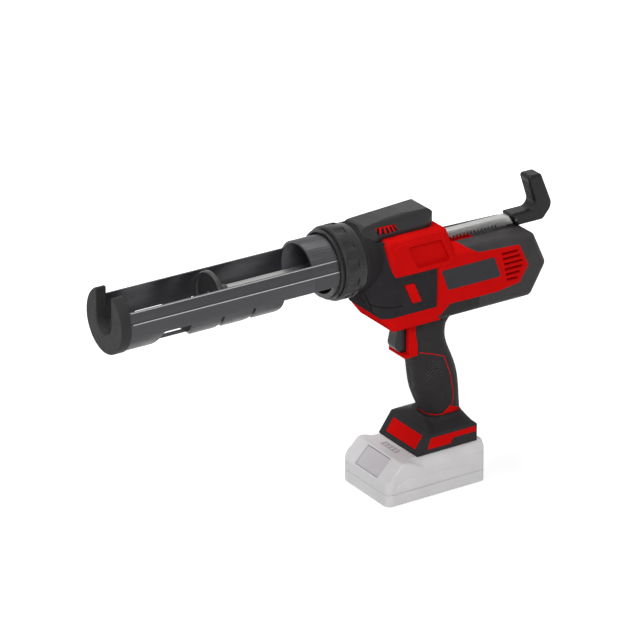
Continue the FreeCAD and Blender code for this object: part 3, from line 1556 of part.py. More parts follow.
def shell_rooms():
    """Hollows of the red shells, less the ribs and screw posts that stand in them."""
    wall = S.bumper_skin + S.shell_wall
    body = common(
        "body_room", motor_body("body_room_form", wall),
        block("body_room_zone", (NOSE, S.body_rear), (-FAR, FAR), (ZERO, CHANNEL_FLOOR - S.shell_wall)),
    )
    inner_grip = common(
        "grip_room", grip("grip_room_form", S.grip_skin + S.grip_wall),
        block("grip_room_zone", (NOSE, S.body_rear), (-FAR, FAR), (S.grip_room_low, S.grip_top)),
    )
    chin_half = S.chin_half_width - wall * 2
    link = block(
        "grip_link", (-S.switch_front, S.switch_length - S.switch_front),
        (-S.switch_half_width, S.switch_half_width), (S.switch_low, AXIS - S.bumper_lip_drop),
    )
    chin_room = block(
        "chin_room", (-S.chin_keel + wall * 2, S.chin_rear), (-chin_half, chin_half),
        (AXIS - S.chin_floor_drop + wall, HOUSING_FLOOR),
    )
    wires = block(
        "wire_way", (S.wire_front, S.wire_front + S.wire_length), (-S.wire_half_width, S.wire_half_width),
        (S.grip_bottom - S.overrun, S.grip_room_low + S.overrun),
    )
    motor = bar("rib_bore", "X", S.motor_radius, HOUSING_REAR, MOTOR_REAR, WORM_CENTRE)
    ribs = []
    for number, start in enumerate((S.rib_front, S.rib_rear)):
        span = (start, start + S.rib_width)
        blank = block(f"motor_rib_blank_{number}", span, (-FAR, FAR), (BODY_FLOOR, AXIS))
        ribs.append(cut(f"motor_rib_{number}", blank, motor))
    ribs.append(cut(
        "switch_rib",
        block(
            "switch_rib_blank", (S.switch_rib, S.switch_rib + S.rib_width), (-FAR, FAR),
            (S.switch_low - S.rib_width, S.switch_top),
        ),
        switch_block("switch_rib_bore"),
    ))
    posts = [
        bar(f"screw_post_{number}", "Y", S.boss_radius, -FAR, FAR, spot)
        for number, spot in enumerate(SCREW_SPOTS)
    ]
    rooms = fuse("shell_hollows", body, inner_grip, link, chin_room)
    return [cut("shell_rooms", rooms, *ribs, *posts), wires]


def screw_set():
    """The shell screws, the holes that they fill and the wider holes that lead to their heads."""
    accesses, shanks, screws = [], [], []
    seat = S.screw_seat
    end = seat - S.screw_depth
    wide = S.screw_head_radius + S.body_gap
    for number, spot in enumerate(SCREW_SPOTS):
        accesses.append(bar(f"screw_access_{number}", "Y", wide, seat, FAR, spot))
        shanks.append(bar(f"screw_hole_{number}", "Y", S.screw_radius, end, seat + S.overrun, spot))
        screws.append(turned(f"screw_{number}", "Y", [
            (end, ZERO),
            (end, S.screw_radius),
            (seat, S.screw_radius),
            (seat, S.screw_head_radius),
            (seat + S.screw_head, S.screw_head_radius - S.screw_head / 3),
            (seat + S.screw_head, ZERO),
        ], spot))
    return accesses, shanks, screws


def vents():
    """Rows of cooling slots on both sides of the motor."""
    slots = []
    count = int(S.vent_count.value)
    inner = S.body_half_width - S.bumper_skin * 3
    for number in range(count):
        away = number - (count - 1) / 2
        middle = AXIS - S.vent_mid_drop - S.vent_pitch * away
        start = S.vent_front + S.vent_lean * number
        end = S.vent_rear - S.vent_step * abs(away)
        for side, near, far in (("left", -FAR, -inner), ("right", inner, FAR)):
            slots.append(block(
                f"vent_{side}_{number}", (start, end), (near, far),
                (middle - S.vent_height / 2, middle + S.vent_height / 2),
            ))
    return slots


def name_plate():
    """Bare dark plate let into the left side of the motor body."""
    top = AXIS - S.plate_drop
    low = top - S.plate_height
    left, right = S.plate_front, S.plate_front + S.plate_length
    face = -S.body_half_width - S.plate_proud
    return node("name_plate", prism("side_plate", "Y", [
        (left, top, S.plate_corner),
        (right, top, S.plate_corner),
        (right + S.plate_slant, low, S.plate_corner),
        (left + S.plate_slant, low, S.plate_corner),
    ], face, face + S.plate_thick))


def trigger():
    """Trigger with a waist and a bulge for the finger, and the stem that works the switch."""
    height = S.trigger_top - S.trigger_low
    lever = prism("trigger_lever", "Y", [
        (-S.trigger_rear, S.trigger_top),
        (-S.trigger_brow, S.trigger_top),
        (-S.trigger_waist, S.trigger_low + height * TRIGGER_WAIST_SHARE, S.trigger_bend * 2),
        (-S.trigger_front, S.trigger_low + height * TRIGGER_BULGE_SHARE, S.trigger_bend),
        (-S.trigger_waist + S.trigger_round, S.trigger_low, S.trigger_bend),
        (-S.trigger_rear, S.trigger_low),
    ], -S.trigger_half_width, S.trigger_half_width, rim=S.trigger_round)
    stem = bar(
        "trigger_stem_bar", "X", S.trigger_stem_radius, -S.trigger_rear - S.overrun,
        -S.trigger_rear + S.trigger_stem, (ZERO, TRIGGER_MIDDLE),
    )
    node("trigger", fuse("trigger_joined", lever, stem))
    way = bar(
        "stem_way", "X", S.trigger_stem_radius + S.body_gap, -S.switch_front - S.overrun,
        -S.trigger_rear + S.trigger_stem + S.trigger_travel + S.body_gap, (ZERO, TRIGGER_MIDDLE),
    )
    node("trigger_switch", cut("switch", switch_block("switch_case"), way))


def switch_block(name):
    return block(
        name, (-S.switch_front, S.switch_length - S.switch_front),
        (-S.switch_half_width, S.switch_half_width), (S.switch_low, S.switch_top),
    )


def trigger_slot():
    """Room that the trigger moves in."""
    half = S.trigger_half_width + S.body_gap
    return block(
        "trigger_room", (-S.trigger_front - S.overrun, -S.trigger_rear + S.trigger_travel + S.body_gap),
        (-half, half), (S.trigger_low - S.body_gap, S.trigger_top + S.body_gap),
    )


# Places of the foot and the battery pack
FOOT_BOTTOM = S.pack_deck + S.body_gap
RAIL_NECK_TOP = S.pack_deck + S.rail_neck
RAIL_TOP = RAIL_NECK_TOP + S.rail_head
SLOT_TOP = RAIL_TOP + S.body_gap
BLADE_LOW = SLOT_TOP - S.blade_height


def foot(outer_grip):
    """Black foot with red trims, rails for the battery pack, terminals and the control board."""
    half = S.foot_half_width
    blank = prism("foot_blank", "Y", [
        (-S.foot_front, FOOT_BOTTOM),
        (-S.foot_shoulder_front, S.foot_shoulder, S.foot_corner),
        (S.foot_neck_rear, S.foot_shoulder, S.foot_corner),
        (S.foot_rear, S.foot_shoulder - S.foot_round),
        (S.foot_rear, FOOT_BOTTOM),
    ], -half, half, rim=S.foot_edge)
    base, top = half - S.foot_round, S.foot_neck_half_width
    base_front, base_rear = -S.foot_shoulder_front + S.foot_round, S.foot_neck_rear
    front, rear = S.foot_neck_front, S.foot_neck_rear - S.foot_round / 2
    neck = loft("foot_neck", "Z", [
        (S.foot_shoulder - S.foot_round, [
            (base_front, -base, S.foot_corner), (base_rear, -base, S.foot_corner),
            (base_rear, base, S.foot_corner), (base_front, base, S.foot_corner),
        ]),
        (S.foot_neck, [
            (front, -top, S.foot_neck_corner), (rear, -top, S.foot_neck_corner),
            (rear, top, S.foot_neck_corner), (front, top, S.foot_neck_corner),
        ]),
    ])
    trims = foot_trims(blank)
    node("foot_trim", group("trims", trims))
    rail_end = S.rail_rear + S.body_gap
    mouth = -S.foot_front - S.overrun
    slot_neck = S.rail_neck_half_width + S.body_gap
    slot_head = S.rail_half_width + S.body_gap
    room = S.foot_room_half_width
    rooms = [
        block("slot_neck", (mouth, rail_end), (-slot_neck, slot_neck), (FOOT_BOTTOM - S.overrun, SLOT_TOP)),
        block(
            "slot_head", (mouth, rail_end), (-slot_head, slot_head), (RAIL_NECK_TOP - S.body_gap, SLOT_TOP)
        ),
        block(
            "foot_room", (ZERO, S.terminal_front), (-room, room),
            (SLOT_TOP + S.foot_ceiling, S.foot_shoulder - S.foot_wall),
        ),
        terminal_block("terminal_pocket"),
        block(
            "foot_wires", (S.wire_front, S.wire_front + S.wire_length),
            (-S.wire_half_width, S.wire_half_width), (SLOT_TOP + S.foot_ceiling, S.foot_neck),
        ),
        outer_grip,
    ]
    node("foot_cover", cut("foot", fuse("foot_solid", blank, neck), *trims, *rooms))
    node("terminal_block", terminal_block("terminals"))
    board_low = SLOT_TOP + S.foot_ceiling
    node("control_board", block(
        "tool_board", (ZERO, S.terminal_front), (-room, room), (board_low, board_low + S.board_thick)
    ))
    along = (S.blade_front, S.blade_front + S.blade_length)
    node("terminal_blades", group("blades", [
        block(f"blade_{number}", along, span, (BLADE_LOW, SLOT_TOP))
        for number, span in enumerate(blade_spans(ZERO))
    ]))


def foot_trims(blank):
    """Red plates on the front and on both sides of the foot."""
    lean = (S.foot_front - S.foot_shoulder_front) / (S.foot_shoulder - FOOT_BOTTOM)
    low, high = SLOT_TOP + S.body_gap, S.trim_high
    low_x = -S.foot_front + lean * (low - FOOT_BOTTOM)
    high_x = -S.foot_front + lean * (high - FOOT_BOTTOM)
    front = prism("trim_front_zone", "Y", [
        (low_x - S.overrun, low), (low_x + S.trim_depth, low),
        (high_x + S.trim_depth, high), (high_x - S.overrun, high),
    ], -S.trim_front_half_width, S.trim_front_half_width)
    sides = side_pair("trim_side_zone", [
        (-S.trim_front, S.trim_low),
        (S.trim_middle, S.trim_low),
        (S.trim_middle + S.trim_slant, S.trim_mid),
        (S.trim_rear, S.trim_mid),
        (S.trim_rear, S.trim_high),
        (-S.trim_front + S.foot_corner, S.trim_high),
    ], S.foot_half_width - S.trim_depth, S.foot_half_width + S.overrun)
    return [common(f"trim_{number}", blank, zone) for number, zone in enumerate((front, *sides))]


def terminal_block(name):
    half = S.terminal_half_width
    return block(name, (S.terminal_front, S.terminal_rear), (-half, half), (SLOT_TOP, S.terminal_top))


def blade_spans(gap):
    """Limits of the terminal blades across the tool, widened by a gap."""
    count = int(S.blade_count.value)
    spans = []
    for number in range(count):
        middle = S.blade_pitch * (number - (count - 1) / 2)
        spans.append((middle - S.blade_thick / 2 - gap, middle + S.blade_thick / 2 + gap))
    return spans


def pack_plan(name, low, high, rim, bevel):
    """Outline of the battery pack from above, with its corners rounded."""
    length, width = S.pack_half_length, S.pack_half_width
    return prism(name, "Z", [
        (length, -width, S.pack_corner),
        (length, width, S.pack_corner),
        (-length, width, S.pack_front_corner),
        (-length, -width, S.pack_front_corner),
    ], low, high, rim=rim, rim_at="low", bevel=bevel)


def slope_slab(name, start, end, top, bottom, half_width, rim=None):
    """Slab along the sloping front of the pack, between places along the slope and depths below it."""
    run, rise = S.pack_half_length - S.slope_top_front, S.pack_deck - S.slope_low
    length = hypotenuse(run, rise)
    along, down = run / length, rise / length

    def at(distance, depth):
        x = -S.pack_half_length + along * distance + down * depth
        return x, S.slope_low + down * distance - along * depth

    return prism(
        name, "Y", [at(start, top), at(length - end, top), at(length - end, bottom), at(start, bottom)],
        -half_width, half_width, rim,
    )


def battery_pack():
    """Battery pack on rails: two case halves, latch, gauge, cells, board, contacts and screws."""
    cells_low, cells_high = S.pack_wall, S.pack_wall + S.cell_radius * 2 + S.cell_room
    cells_x = S.cell_pitch * (S.cell_count - 1) / 2 + S.cell_radius + S.cell_room / 2
    cells_y = S.cell_length / 2 + S.cell_room / 2
    cell_room = block("cell_room", (-cells_x, cells_x), (-cells_y, cells_y), (cells_low, cells_high))
    holes, screws = pack_screws()
    node("battery_screws", group("pack_screws", screws))
    node("battery_lower_case", cut(
        "lower_case", pack_plan("lower_plan", ZERO, S.pack_split, S.pack_round, False), cell_room, *holes
    ))
    length, width, deck = S.pack_half_length, S.pack_half_width, S.pack_deck
    section = prism("pack_section", "X", [
        (-width, S.pack_split), (width, S.pack_split), (width, S.pack_side_top),
        (S.pack_deck_half_width, deck), (-S.pack_deck_half_width, deck), (-width, S.pack_side_top),
    ], -length, length)
    side = prism("pack_side", "Y", [
        (-length, S.pack_split), (-length, S.slope_low), (-S.slope_top_front, deck), (length, deck),
        (length, S.pack_split),
    ], -width, width)
    plan = pack_plan("upper_plan", S.pack_split, deck, S.pack_seam, True)
    neck, head = S.rail_neck_half_width, S.rail_half_width
    solid = fuse(
        "upper_solid", common("upper_blank", plan, section, side),
        block("rail_neck", (-S.rail_front, S.rail_rear), (-neck, neck), (deck - S.overrun, RAIL_NECK_TOP)),
        block("rail_head", (-S.rail_front, S.rail_rear), (-head, head), (RAIL_NECK_TOP, RAIL_TOP)),
    )
    board_half = S.board_half_width
    board_room = block(
        "board_room", (-S.board_front, S.rail_rear), (-board_half, board_half),
        (cells_high - S.overrun, deck - S.pack_wall),
    )
    board_low = cells_high + S.pack_wall
    latch_deep = S.latch_sink + S.latch_depth
    gap = S.body_gap
    margin = S.latch_margin - gap
    pocket = slope_slab(
        "latch_pocket", margin, margin, -S.overrun, latch_deep + S.latch_travel + gap,
        S.latch_half_width + gap,
    )
    gauge_x = (-S.gauge_front, -S.gauge_front + S.gauge_length)
    gauge_y = (-S.gauge_half_width, S.gauge_half_width)
    gauge_bed = block("gauge_bed", gauge_x, gauge_y, (deck - S.gauge_depth, deck + S.overrun))
    slots = [
        block(
            f"contact_slot_{number}", (S.blade_front - gap, S.rail_rear + S.overrun), span,
            (BLADE_LOW - gap, RAIL_TOP + S.overrun),
        )
        for number, span in enumerate(blade_spans(gap))
    ]
    contacts = [
        block(
            f"contact_{number}", (S.blade_front, S.blade_front + S.blade_length), span,
            (board_low + S.board_thick, BLADE_LOW - gap),
        )
        for number, span in enumerate(blade_spans(ZERO))
    ]
    node("battery_contacts", group("contacts", contacts))
    node("battery_upper_case", cut(
        "upper_case", solid, cell_room, board_room, pocket, gauge_bed, *slots, *contacts, *holes
    ))
    node("battery_latch", slope_slab(
        "latch", S.latch_margin, S.latch_margin, S.latch_sink, latch_deep, S.latch_half_width, S.latch_round
    ))
    node("battery_gauge", block("gauge", gauge_x, gauge_y, (deck - S.gauge_depth, deck - S.gauge_sink)))
    node("battery_board", block(
        "pack_board", (-S.board_front, S.rail_rear), (-board_half, board_half),
        (board_low, board_low + S.board_thick),
    ))
    cell_high = cells_low + S.cell_radius
    cells = []
    for number in range(int(S.cell_count.value)):
        middle = S.cell_pitch * (as_size(number) - (S.cell_count - 1) / 2)
        cells.append(bar(
            f"cell_{number}", "Y", S.cell_radius, -S.cell_length / 2, S.cell_length / 2, (middle, cell_high)
        ))
    node("battery_cells", group("cells", cells))


def pack_screws():
    """Four screws that hold the pack's halves together from below, and the holes that they fill."""
    holes, screws = [], []
    seat = S.pack_wall
    head = seat - S.screw_head
    end = seat + S.pack_screw_length
    for number, (x_side, y_side) in enumerate(((-1, -1), (-1, 1), (1, -1), (1, 1))):
        spot = (S.pack_screw_x * x_side, S.pack_screw_y * y_side)
        holes.append(bar(f"pack_screw_hole_{number}", "Z", S.screw_radius, ZERO, end, spot))
        holes.append(bar(f"pack_screw_sink_{number}", "Z", S.screw_head_radius, -S.overrun, seat, spot))
        screws.append(turned(f"pack_screw_{number}", "Z", [
            (head, ZERO),
            (head, S.screw_head_radius),
            (seat, S.screw_head_radius),
            (seat, S.screw_radius),
            (end, S.screw_radius),
            (end, ZERO),
        ], spot))
    return holes, screws


def write_pieces():
    """Checks every object and every piece, then writes one file per piece."""
    doc.recompute()
    failed = [thing.Name for thing in doc.Objects if {"Invalid", "Error"} & set(thing.State)]
    for name, thing in NODES.items():
        if thing.Shape.isNull() or not thing.Shape.isValid() or not thing.Shape.Solids:
            failed.append(name)
    if failed:
        raise RuntimeError(f"failed objects: {failed}")
    os.makedirs("parts", exist_ok=True)
    for name, thing in NODES.items():
        thing.Shape.exportStep(f"parts/{name}.step")
        print(name, len(thing.Shape.Solids), round(thing.Shape.Volume))


cartridge_cradle()
lock_ring()
piston()
rack_rod()
pull_hook()
drive_gears()
worm()
gear_motor()
saddle_solid, recesses = saddle()
dial_rooms = speed_dial_rooms()
housing_solid = gear_housing(saddle_solid, dial_rooms)
node("lock_button", lock_button_outline("button", ZERO, ZERO))
rod_bushes()
hump = top_cover(housing_solid, dial_rooms)
speed_dial()
outer_grip = body_shells(housing_solid, hump, saddle_solid, recesses)
trigger()
foot(outer_grip)
battery_pack()
write_pieces()
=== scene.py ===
import json
import math

import bmesh
import bpy
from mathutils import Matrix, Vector
from mathutils.bvhtree import BVHTree


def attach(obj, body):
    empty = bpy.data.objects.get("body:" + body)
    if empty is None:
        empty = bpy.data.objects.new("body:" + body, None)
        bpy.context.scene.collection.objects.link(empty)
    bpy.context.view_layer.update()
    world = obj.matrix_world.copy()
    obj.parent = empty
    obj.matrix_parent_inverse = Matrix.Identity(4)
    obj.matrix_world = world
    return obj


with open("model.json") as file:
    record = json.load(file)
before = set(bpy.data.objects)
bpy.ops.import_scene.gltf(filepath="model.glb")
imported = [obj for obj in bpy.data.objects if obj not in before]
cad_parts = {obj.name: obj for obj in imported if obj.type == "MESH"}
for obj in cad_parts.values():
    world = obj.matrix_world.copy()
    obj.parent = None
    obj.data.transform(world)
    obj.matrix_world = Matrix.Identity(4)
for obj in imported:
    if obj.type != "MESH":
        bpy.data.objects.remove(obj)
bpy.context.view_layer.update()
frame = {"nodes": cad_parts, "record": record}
NODES = frame["nodes"]
SLOTS = {part["node"]: part["material_slot"] for part in frame["record"]["subparts"]}
MM = 0.001


# Materials

NOISE_LOW, NOISE_HIGH = 0.3, 0.7
PATCH_SIZE, SHEEN_SIZE, SCRATCH_SIZE = 22 * MM, 6 * MM, 0.6 * MM
SHEEN_SPREAD, SCRATCH_SPREAD = (0.05, 0.06), (0.06, 0.08)
SCRATCH_SHADES = (0.86, 1.1)
SCRATCH_DEPTH = 0.02 * MM
TRACK_SCALE = 120
TRACK_SHADES = (0.8, 1.8)
BOARD_ROUGHNESS = 0.4


def new_material(name):
    """An empty node material: its tree, its principled shader and its object coordinates."""
    material = bpy.data.materials.new(name)
    material.use_nodes = True
    tree = material.node_tree
    shader = tree.nodes["Principled BSDF"]
    place = tree.nodes.new("ShaderNodeTexCoord").outputs["Object"]
    return material, tree, shader, place


def noise(tree, place, size, detail=3.0, stretch=None):
    """Noise whose grains are about the given size in metres, optionally drawn out along an axis."""
    if stretch is not None:
        scaling = tree.nodes.new("ShaderNodeVectorMath")
        scaling.operation = "MULTIPLY"
        scaling.inputs[1].default_value = stretch
        tree.links.new(place, scaling.inputs[0])
        place = scaling.outputs[0]
    texture = tree.nodes.new("ShaderNodeTexNoise")
    texture.inputs["Scale"].default_value = 1 / size
    texture.inputs["Detail"].default_value = detail
    tree.links.new(place, texture.inputs["Vector"])
    return texture.outputs["Fac"]


def spread(tree, value, low, high):
    """Maps the middle of a noise onto the range from low to high."""
    mapping = tree.nodes.new("ShaderNodeMapRange")
    mapping.inputs["From Min"].default_value = NOISE_LOW
    mapping.inputs["From Max"].default_value = NOISE_HIGH
    mapping.inputs["To Min"].default_value = low
    mapping.inputs["To Max"].default_value = high
    tree.links.new(value, mapping.inputs["Value"])
    return mapping.outputs["Result"]


def tint(tree, factor, first, second):
    """A colour between two colours."""
    ramp = tree.nodes.new("ShaderNodeValToRGB")
    ramp.color_ramp.elements[0].color = (*first, 1)
    ramp.color_ramp.elements[1].color = (*second, 1)
    ramp.color_ramp.elements[0].position = NOISE_LOW
    ramp.color_ramp.elements[1].position = NOISE_HIGH
    tree.links.new(factor, ramp.inputs["Fac"])
    return ramp.outputs["Color"]


def bump(tree, shader, height, depth):
    """Fine relief of the given depth in metres."""
    node = tree.nodes.new("ShaderNodeBump")
    node.inputs["Strength"].default_value = 1.0
    node.inputs["Distance"].default_value = depth
    tree.links.new(height, node.inputs["Height"])
    tree.links.new(node.outputs["Normal"], shader.inputs["Normal"])


def shade(colour, factor):
    """A lighter or darker colour."""
    return tuple(min(1.0, part * factor) for part in colour)


def moulded(name, colour, roughness, gloss=0.3, grain=0.7 * MM, depth=0.03 * MM, mottle=0.12):
    """Moulded plastic: slight mottling, uneven sheen and a fine moulded grain."""
    material, tree, shader, place = new_material(name)
    patches = noise(tree, place, PATCH_SIZE)
    mottled = tint(tree, patches, shade(colour, 1 - mottle), shade(colour, 1 + mottle))
    tree.links.new(mottled, shader.inputs["Base Color"])
    smoother, rougher = SHEEN_SPREAD
    sheen = spread(tree, noise(tree, place, SHEEN_SIZE), roughness - smoother, roughness + rougher)
    tree.links.new(sheen, shader.inputs["Roughness"])
    shader.inputs["Specular IOR Level"].default_value = gloss
    bump(tree, shader, noise(tree, place, grain, detail=2.0), depth)
    return material


def metal(name, colour, roughness, along=(1.0, 1.0, 1.0)):
    """Machined metal with fine scratches drawn out along one axis."""
    material, tree, shader, place = new_material(name)
    shader.inputs["Metallic"].default_value = 1.0
    streaks = noise(tree, place, SCRATCH_SIZE, stretch=along)
    dark, light = (shade(colour, factor) for factor in SCRATCH_SHADES)
    tree.links.new(tint(tree, streaks, dark, light), shader.inputs["Base Color"])
    smoother, rougher = SCRATCH_SPREAD
    tree.links.new(spread(tree, streaks, roughness - smoother, roughness + rougher), shader.inputs["Roughness"])
    bump(tree, shader, streaks, SCRATCH_DEPTH)
    return material


def laminate(name, colour):
    """Circuit board laminate with faint tracks."""
    material, tree, shader, place = new_material(name)
    tracks = tree.nodes.new("ShaderNodeTexBrick")
    tracks.inputs["Scale"].default_value = TRACK_SCALE
    dark, light = (shade(colour, factor) for factor in TRACK_SHADES)
    for socket, part in (("Color1", colour), ("Color2", dark), ("Mortar", light)):
        tracks.inputs[socket].default_value = (*part, 1)
    tree.links.new(place, tracks.inputs["Vector"])
    tree.links.new(tracks.outputs["Color"], shader.inputs["Base Color"])
    shader.inputs["Roughness"].default_value = BOARD_ROUGHNESS
    return material


RED = (0.62, 0.006, 0.006)
CHARCOAL = (0.031, 0.029, 0.031)
GRIP_BLACK = (0.022, 0.020, 0.021)
PLATE_BLACK = (0.026, 0.025, 0.030)
STRETCHED, DRAWN = (0.1, 1.0, 1.0), (0.05, 1.0, 1.0)
FINE, FINER = 0.015 * MM, 0.01 * MM
MATERIALS = {
    "red_plastic": moulded("satin_red", RED, 0.45, gloss=0.0, depth=0.012 * MM, mottle=0.05),
    "black_plastic": moulded("charcoal_plastic", CHARCOAL, 0.46, gloss=0.05),
    "soft_grip": moulded("soft_black", GRIP_BLACK, 0.62, gloss=0.14, grain=0.9 * MM, depth=0.05 * MM),
    "cradle_black": moulded("smooth_charcoal", (0.030, 0.029, 0.034), 0.36, gloss=0.45, depth=FINE),
    "hook_black": moulded("deep_black", (0.0095, 0.009, 0.0098), 0.36, gloss=0.2, depth=FINE),
    "piston_black": moulded("coated_black", (0.03, 0.03, 0.032), 0.38, gloss=0.4, depth=0.02 * MM),
    "plate_dark": moulded("plate_charcoal", PLATE_BLACK, 0.42, gloss=0.15, depth=FINER, mottle=0.06),
    "motor_cap": moulded("plain_black", (0.006, 0.006, 0.0065), 0.6, gloss=0.05),
    "pack_grey": moulded("pale_grey", (0.71, 0.70, 0.71), 0.44, mottle=0.03),
    "pack_latch": moulded("latch_grey", (0.58, 0.56, 0.59), 0.46, mottle=0.04),
    "pack_gauge": moulded("gauge_grey", (0.42, 0.40, 0.45), 0.36, depth=FINER, mottle=0.05),
    "cell_wrap": moulded("wrapped_cell", (0.05, 0.15, 0.3), 0.3),
    "rod_steel": metal("drawn_steel", (0.50, 0.50, 0.49), 0.36, along=DRAWN),
    "gear_steel": metal("machined_steel", (0.42, 0.42, 0.43), 0.34),
    "motor_steel": metal("rolled_steel", (0.38, 0.38, 0.39), 0.36, along=STRETCHED),
    "dark_steel": metal("blackened_steel", (0.10, 0.10, 0.105), 0.4),
    "bronze": metal("oiled_bronze", (0.48, 0.30, 0.14), 0.36),
    "contact_brass": metal("stamped_brass", (0.65, 0.48, 0.2), 0.3, along=STRETCHED),
    "board_green": laminate("green_laminate", (0.02, 0.12, 0.05)),
}

# Finishes of single nodes within a slot, and rounded edges in metres

SATIN_BLACK = moulded("satin_black", (0.0165, 0.0155, 0.0168), 0.34, gloss=0.27, depth=FINE)
OWN_FINISH = {
    "lock_ring": SATIN_BLACK,
    "top_cover": SATIN_BLACK,
    "trigger": SATIN_BLACK,
    "cradle_front": moulded("front_charcoal", (0.034, 0.033, 0.033), 0.5, gloss=0.08, depth=FINE),
    "rear_bumper": moulded("bumper_charcoal", (0.048, 0.045, 0.047), 0.46, gloss=0.08),
    "gear_housing": moulded("housing_charcoal", CHARCOAL, 0.5, gloss=0.0),
}
PLAIN_EDGE = 0.35 * MM
EDGES = {
    "cartridge_cradle": 0.7 * MM,
    "cradle_front": 0.7 * MM,
    "cradle_sleeve": 0.7 * MM,
    "lock_ring": 0.5 * MM,
    "top_cover": 0.6 * MM,
}
EDGE_SEGMENTS = 2
EDGE_ANGLE = math.radians(35)
FLAT_ANGLE = math.radians(0.5)
WELD_DISTANCE = 0.005 * MM


def dress(name, thing):
    """Gives a CAD node its finish, and rounds its hard edges a little so that they catch the light."""
    thing.data.materials.clear()
    thing.data.materials.append(OWN_FINISH.get(name, MATERIALS[SLOTS[name]]))
    weld = thing.modifiers.new("join_corners", "WELD")
    weld.merge_threshold = WELD_DISTANCE
    flat = thing.modifiers.new("flat_faces", "DECIMATE")
    flat.decimate_type = "DISSOLVE"
    flat.angle_limit = FLAT_ANGLE
    bevel = thing.modifiers.new("soft_edges", "BEVEL")
    bevel.width = EDGES.get(name, PLAIN_EDGE)
    bevel.segments = EDGE_SEGMENTS
    bevel.limit_method = "ANGLE"
    bevel.angle_limit = EDGE_ANGLE
    bevel.harden_normals = True


for node_name, node_object in NODES.items():
    dress(node_name, node_object)


# Helpers for small moulded forms on the CAD nodes, sizes in millimetres

SIDES = {"left": -1, "right": 1}
SIDE_CLEAR, TOP_CLEAR, PACK_CLEAR = 60, 290, 60
DOWN = (0, 0, -1)
SUNK = 0.3
BEAD = ((-0.5, 0.0), (-0.5, 0.5), (-0.28, 1.0), (0.28, 1.0), (0.5, 0.5), (0.5, 0.0))
DOME = ((1.0, 0.3), (0.75, 0.75), (0.35, 1.0))
DOME_CORNERS = 8
CURVE_STEPS = 6
SAME_SPOT = 0.001 * MM


def surface(*names):
    """The faces of CAD nodes, for laying pieces on."""
    points, faces = [], []
    for name in names:
        thing = NODES[name]
        start = len(points)
        points += [thing.matrix_world @ vertex.co for vertex in thing.data.vertices]
        faces += [[start + corner for corner in polygon.vertices] for polygon in thing.data.polygons]
    return BVHTree.FromPolygons(points, faces)


def front_of(name):
    """Where a CAD node begins at the front."""
    thing = NODES[name]
    return min((thing.matrix_world @ vertex.co).x for vertex in thing.data.vertices) / MM


def cast(tree, start, way):
    """Spot and outward normal where a line first meets a surface, or None where it passes by."""
    way = Vector(way)
    spot, normal, _, _ = tree.ray_cast(Vector(start) * MM, way)
    if spot is None:
        return None
    return spot, -normal if normal.dot(way) > 0 else normal


def on_side(tree, side, path):
    """Spots and normals on one side of the tool for a path of (x, z)."""
    places = [cast(tree, (x, SIDE_CLEAR * side, z), (0, -side, 0)) for x, z in path]
    return [place for place in places if place is not None]


def smooth_path(corners):
    """Points on a smooth curve through the corners."""
    path = []
    ends = [corners[0], *corners, corners[-1]]
    for four in zip(ends, ends[1:], ends[2:], ends[3:]):
        for step in range(CURVE_STEPS):
            t = step / CURVE_STEPS
            path.append(tuple(
                q + t * ((r - p) + t * ((2 * p - 5 * q + 4 * r - s) + t * (3 * q - p - 3 * r + s))) / 2
                for p, q, r, s in zip(*four)
            ))
    return [*path, corners[-1]]


def inside(outline, x, z):
    """Whether a point lies inside an outline."""
    crossings = 0
    for (x0, z0), (x1, z1) in zip(outline, [*outline[1:], outline[0]]):
        if (z0 > z) != (z1 > z) and x < x0 + (x1 - x0) * (z - z0) / (z1 - z0):
            crossings += 1
    return crossings % 2 == 1


def rounded_ring(front, rear, half, corner, height):
    """A rectangle with rounded corners as a level ring."""
    ring = []
    for number, (x, y) in enumerate((
        (rear - corner, half - corner), (front + corner, half - corner), (front + corner, corner - half),
        (rear - corner, corner - half),
    )):
        for step in range(CURVE_STEPS + 1):
            turn = math.pi / 2 * (number + step / CURVE_STEPS)
            ring.append(Vector((x + corner * math.cos(turn), y + corner * math.sin(turn), height)) * MM)
    return ring


def skin(rings):
    """Points and faces of a closed skin over a row of rings with equally many points."""
    count = len(rings[0])
    points = [point for ring in rings for point in ring]
    faces = [tuple(range(count)), tuple(range(len(points) - count, len(points)))]
    for number in range(len(rings) - 1):
        low, high = number * count, (number + 1) * count
        for corner in range(count):
            after = (corner + 1) % count
            faces.append((low + corner, low + after, high + after, high + corner))
    return points, faces


def bead(places, width, proud):
    """Skin of a low rounded bead along places on a surface, let into it a little."""
    rings = []
    for number, (spot, normal) in enumerate(places):
        before, after = places[max(number - 1, 0)][0], places[min(number + 1, len(places) - 1)][0]
        across = normal.cross(after - before).normalized()
        rings.append([
            spot + (across * (width * share) + normal * (proud * height if height else -SUNK)) * MM
            for share, height in BEAD
        ])
    return skin(rings)


def stud(place, radius, proud):
    """Skin of a small dome on a surface."""
    spot, normal = place
    first = normal.orthogonal().normalized()
    second = normal.cross(first)
    rings = []
    for share, height in ((1.0, -SUNK), *((share, proud * height) for share, height in DOME)):
        rings.append([
            spot + ((first * math.cos(turn) + second * math.sin(turn)) * (radius * share) + normal * height) * MM
            for turn in (math.tau * number / DOME_CORNERS for number in range(DOME_CORNERS))
        ])
    return skin(rings)


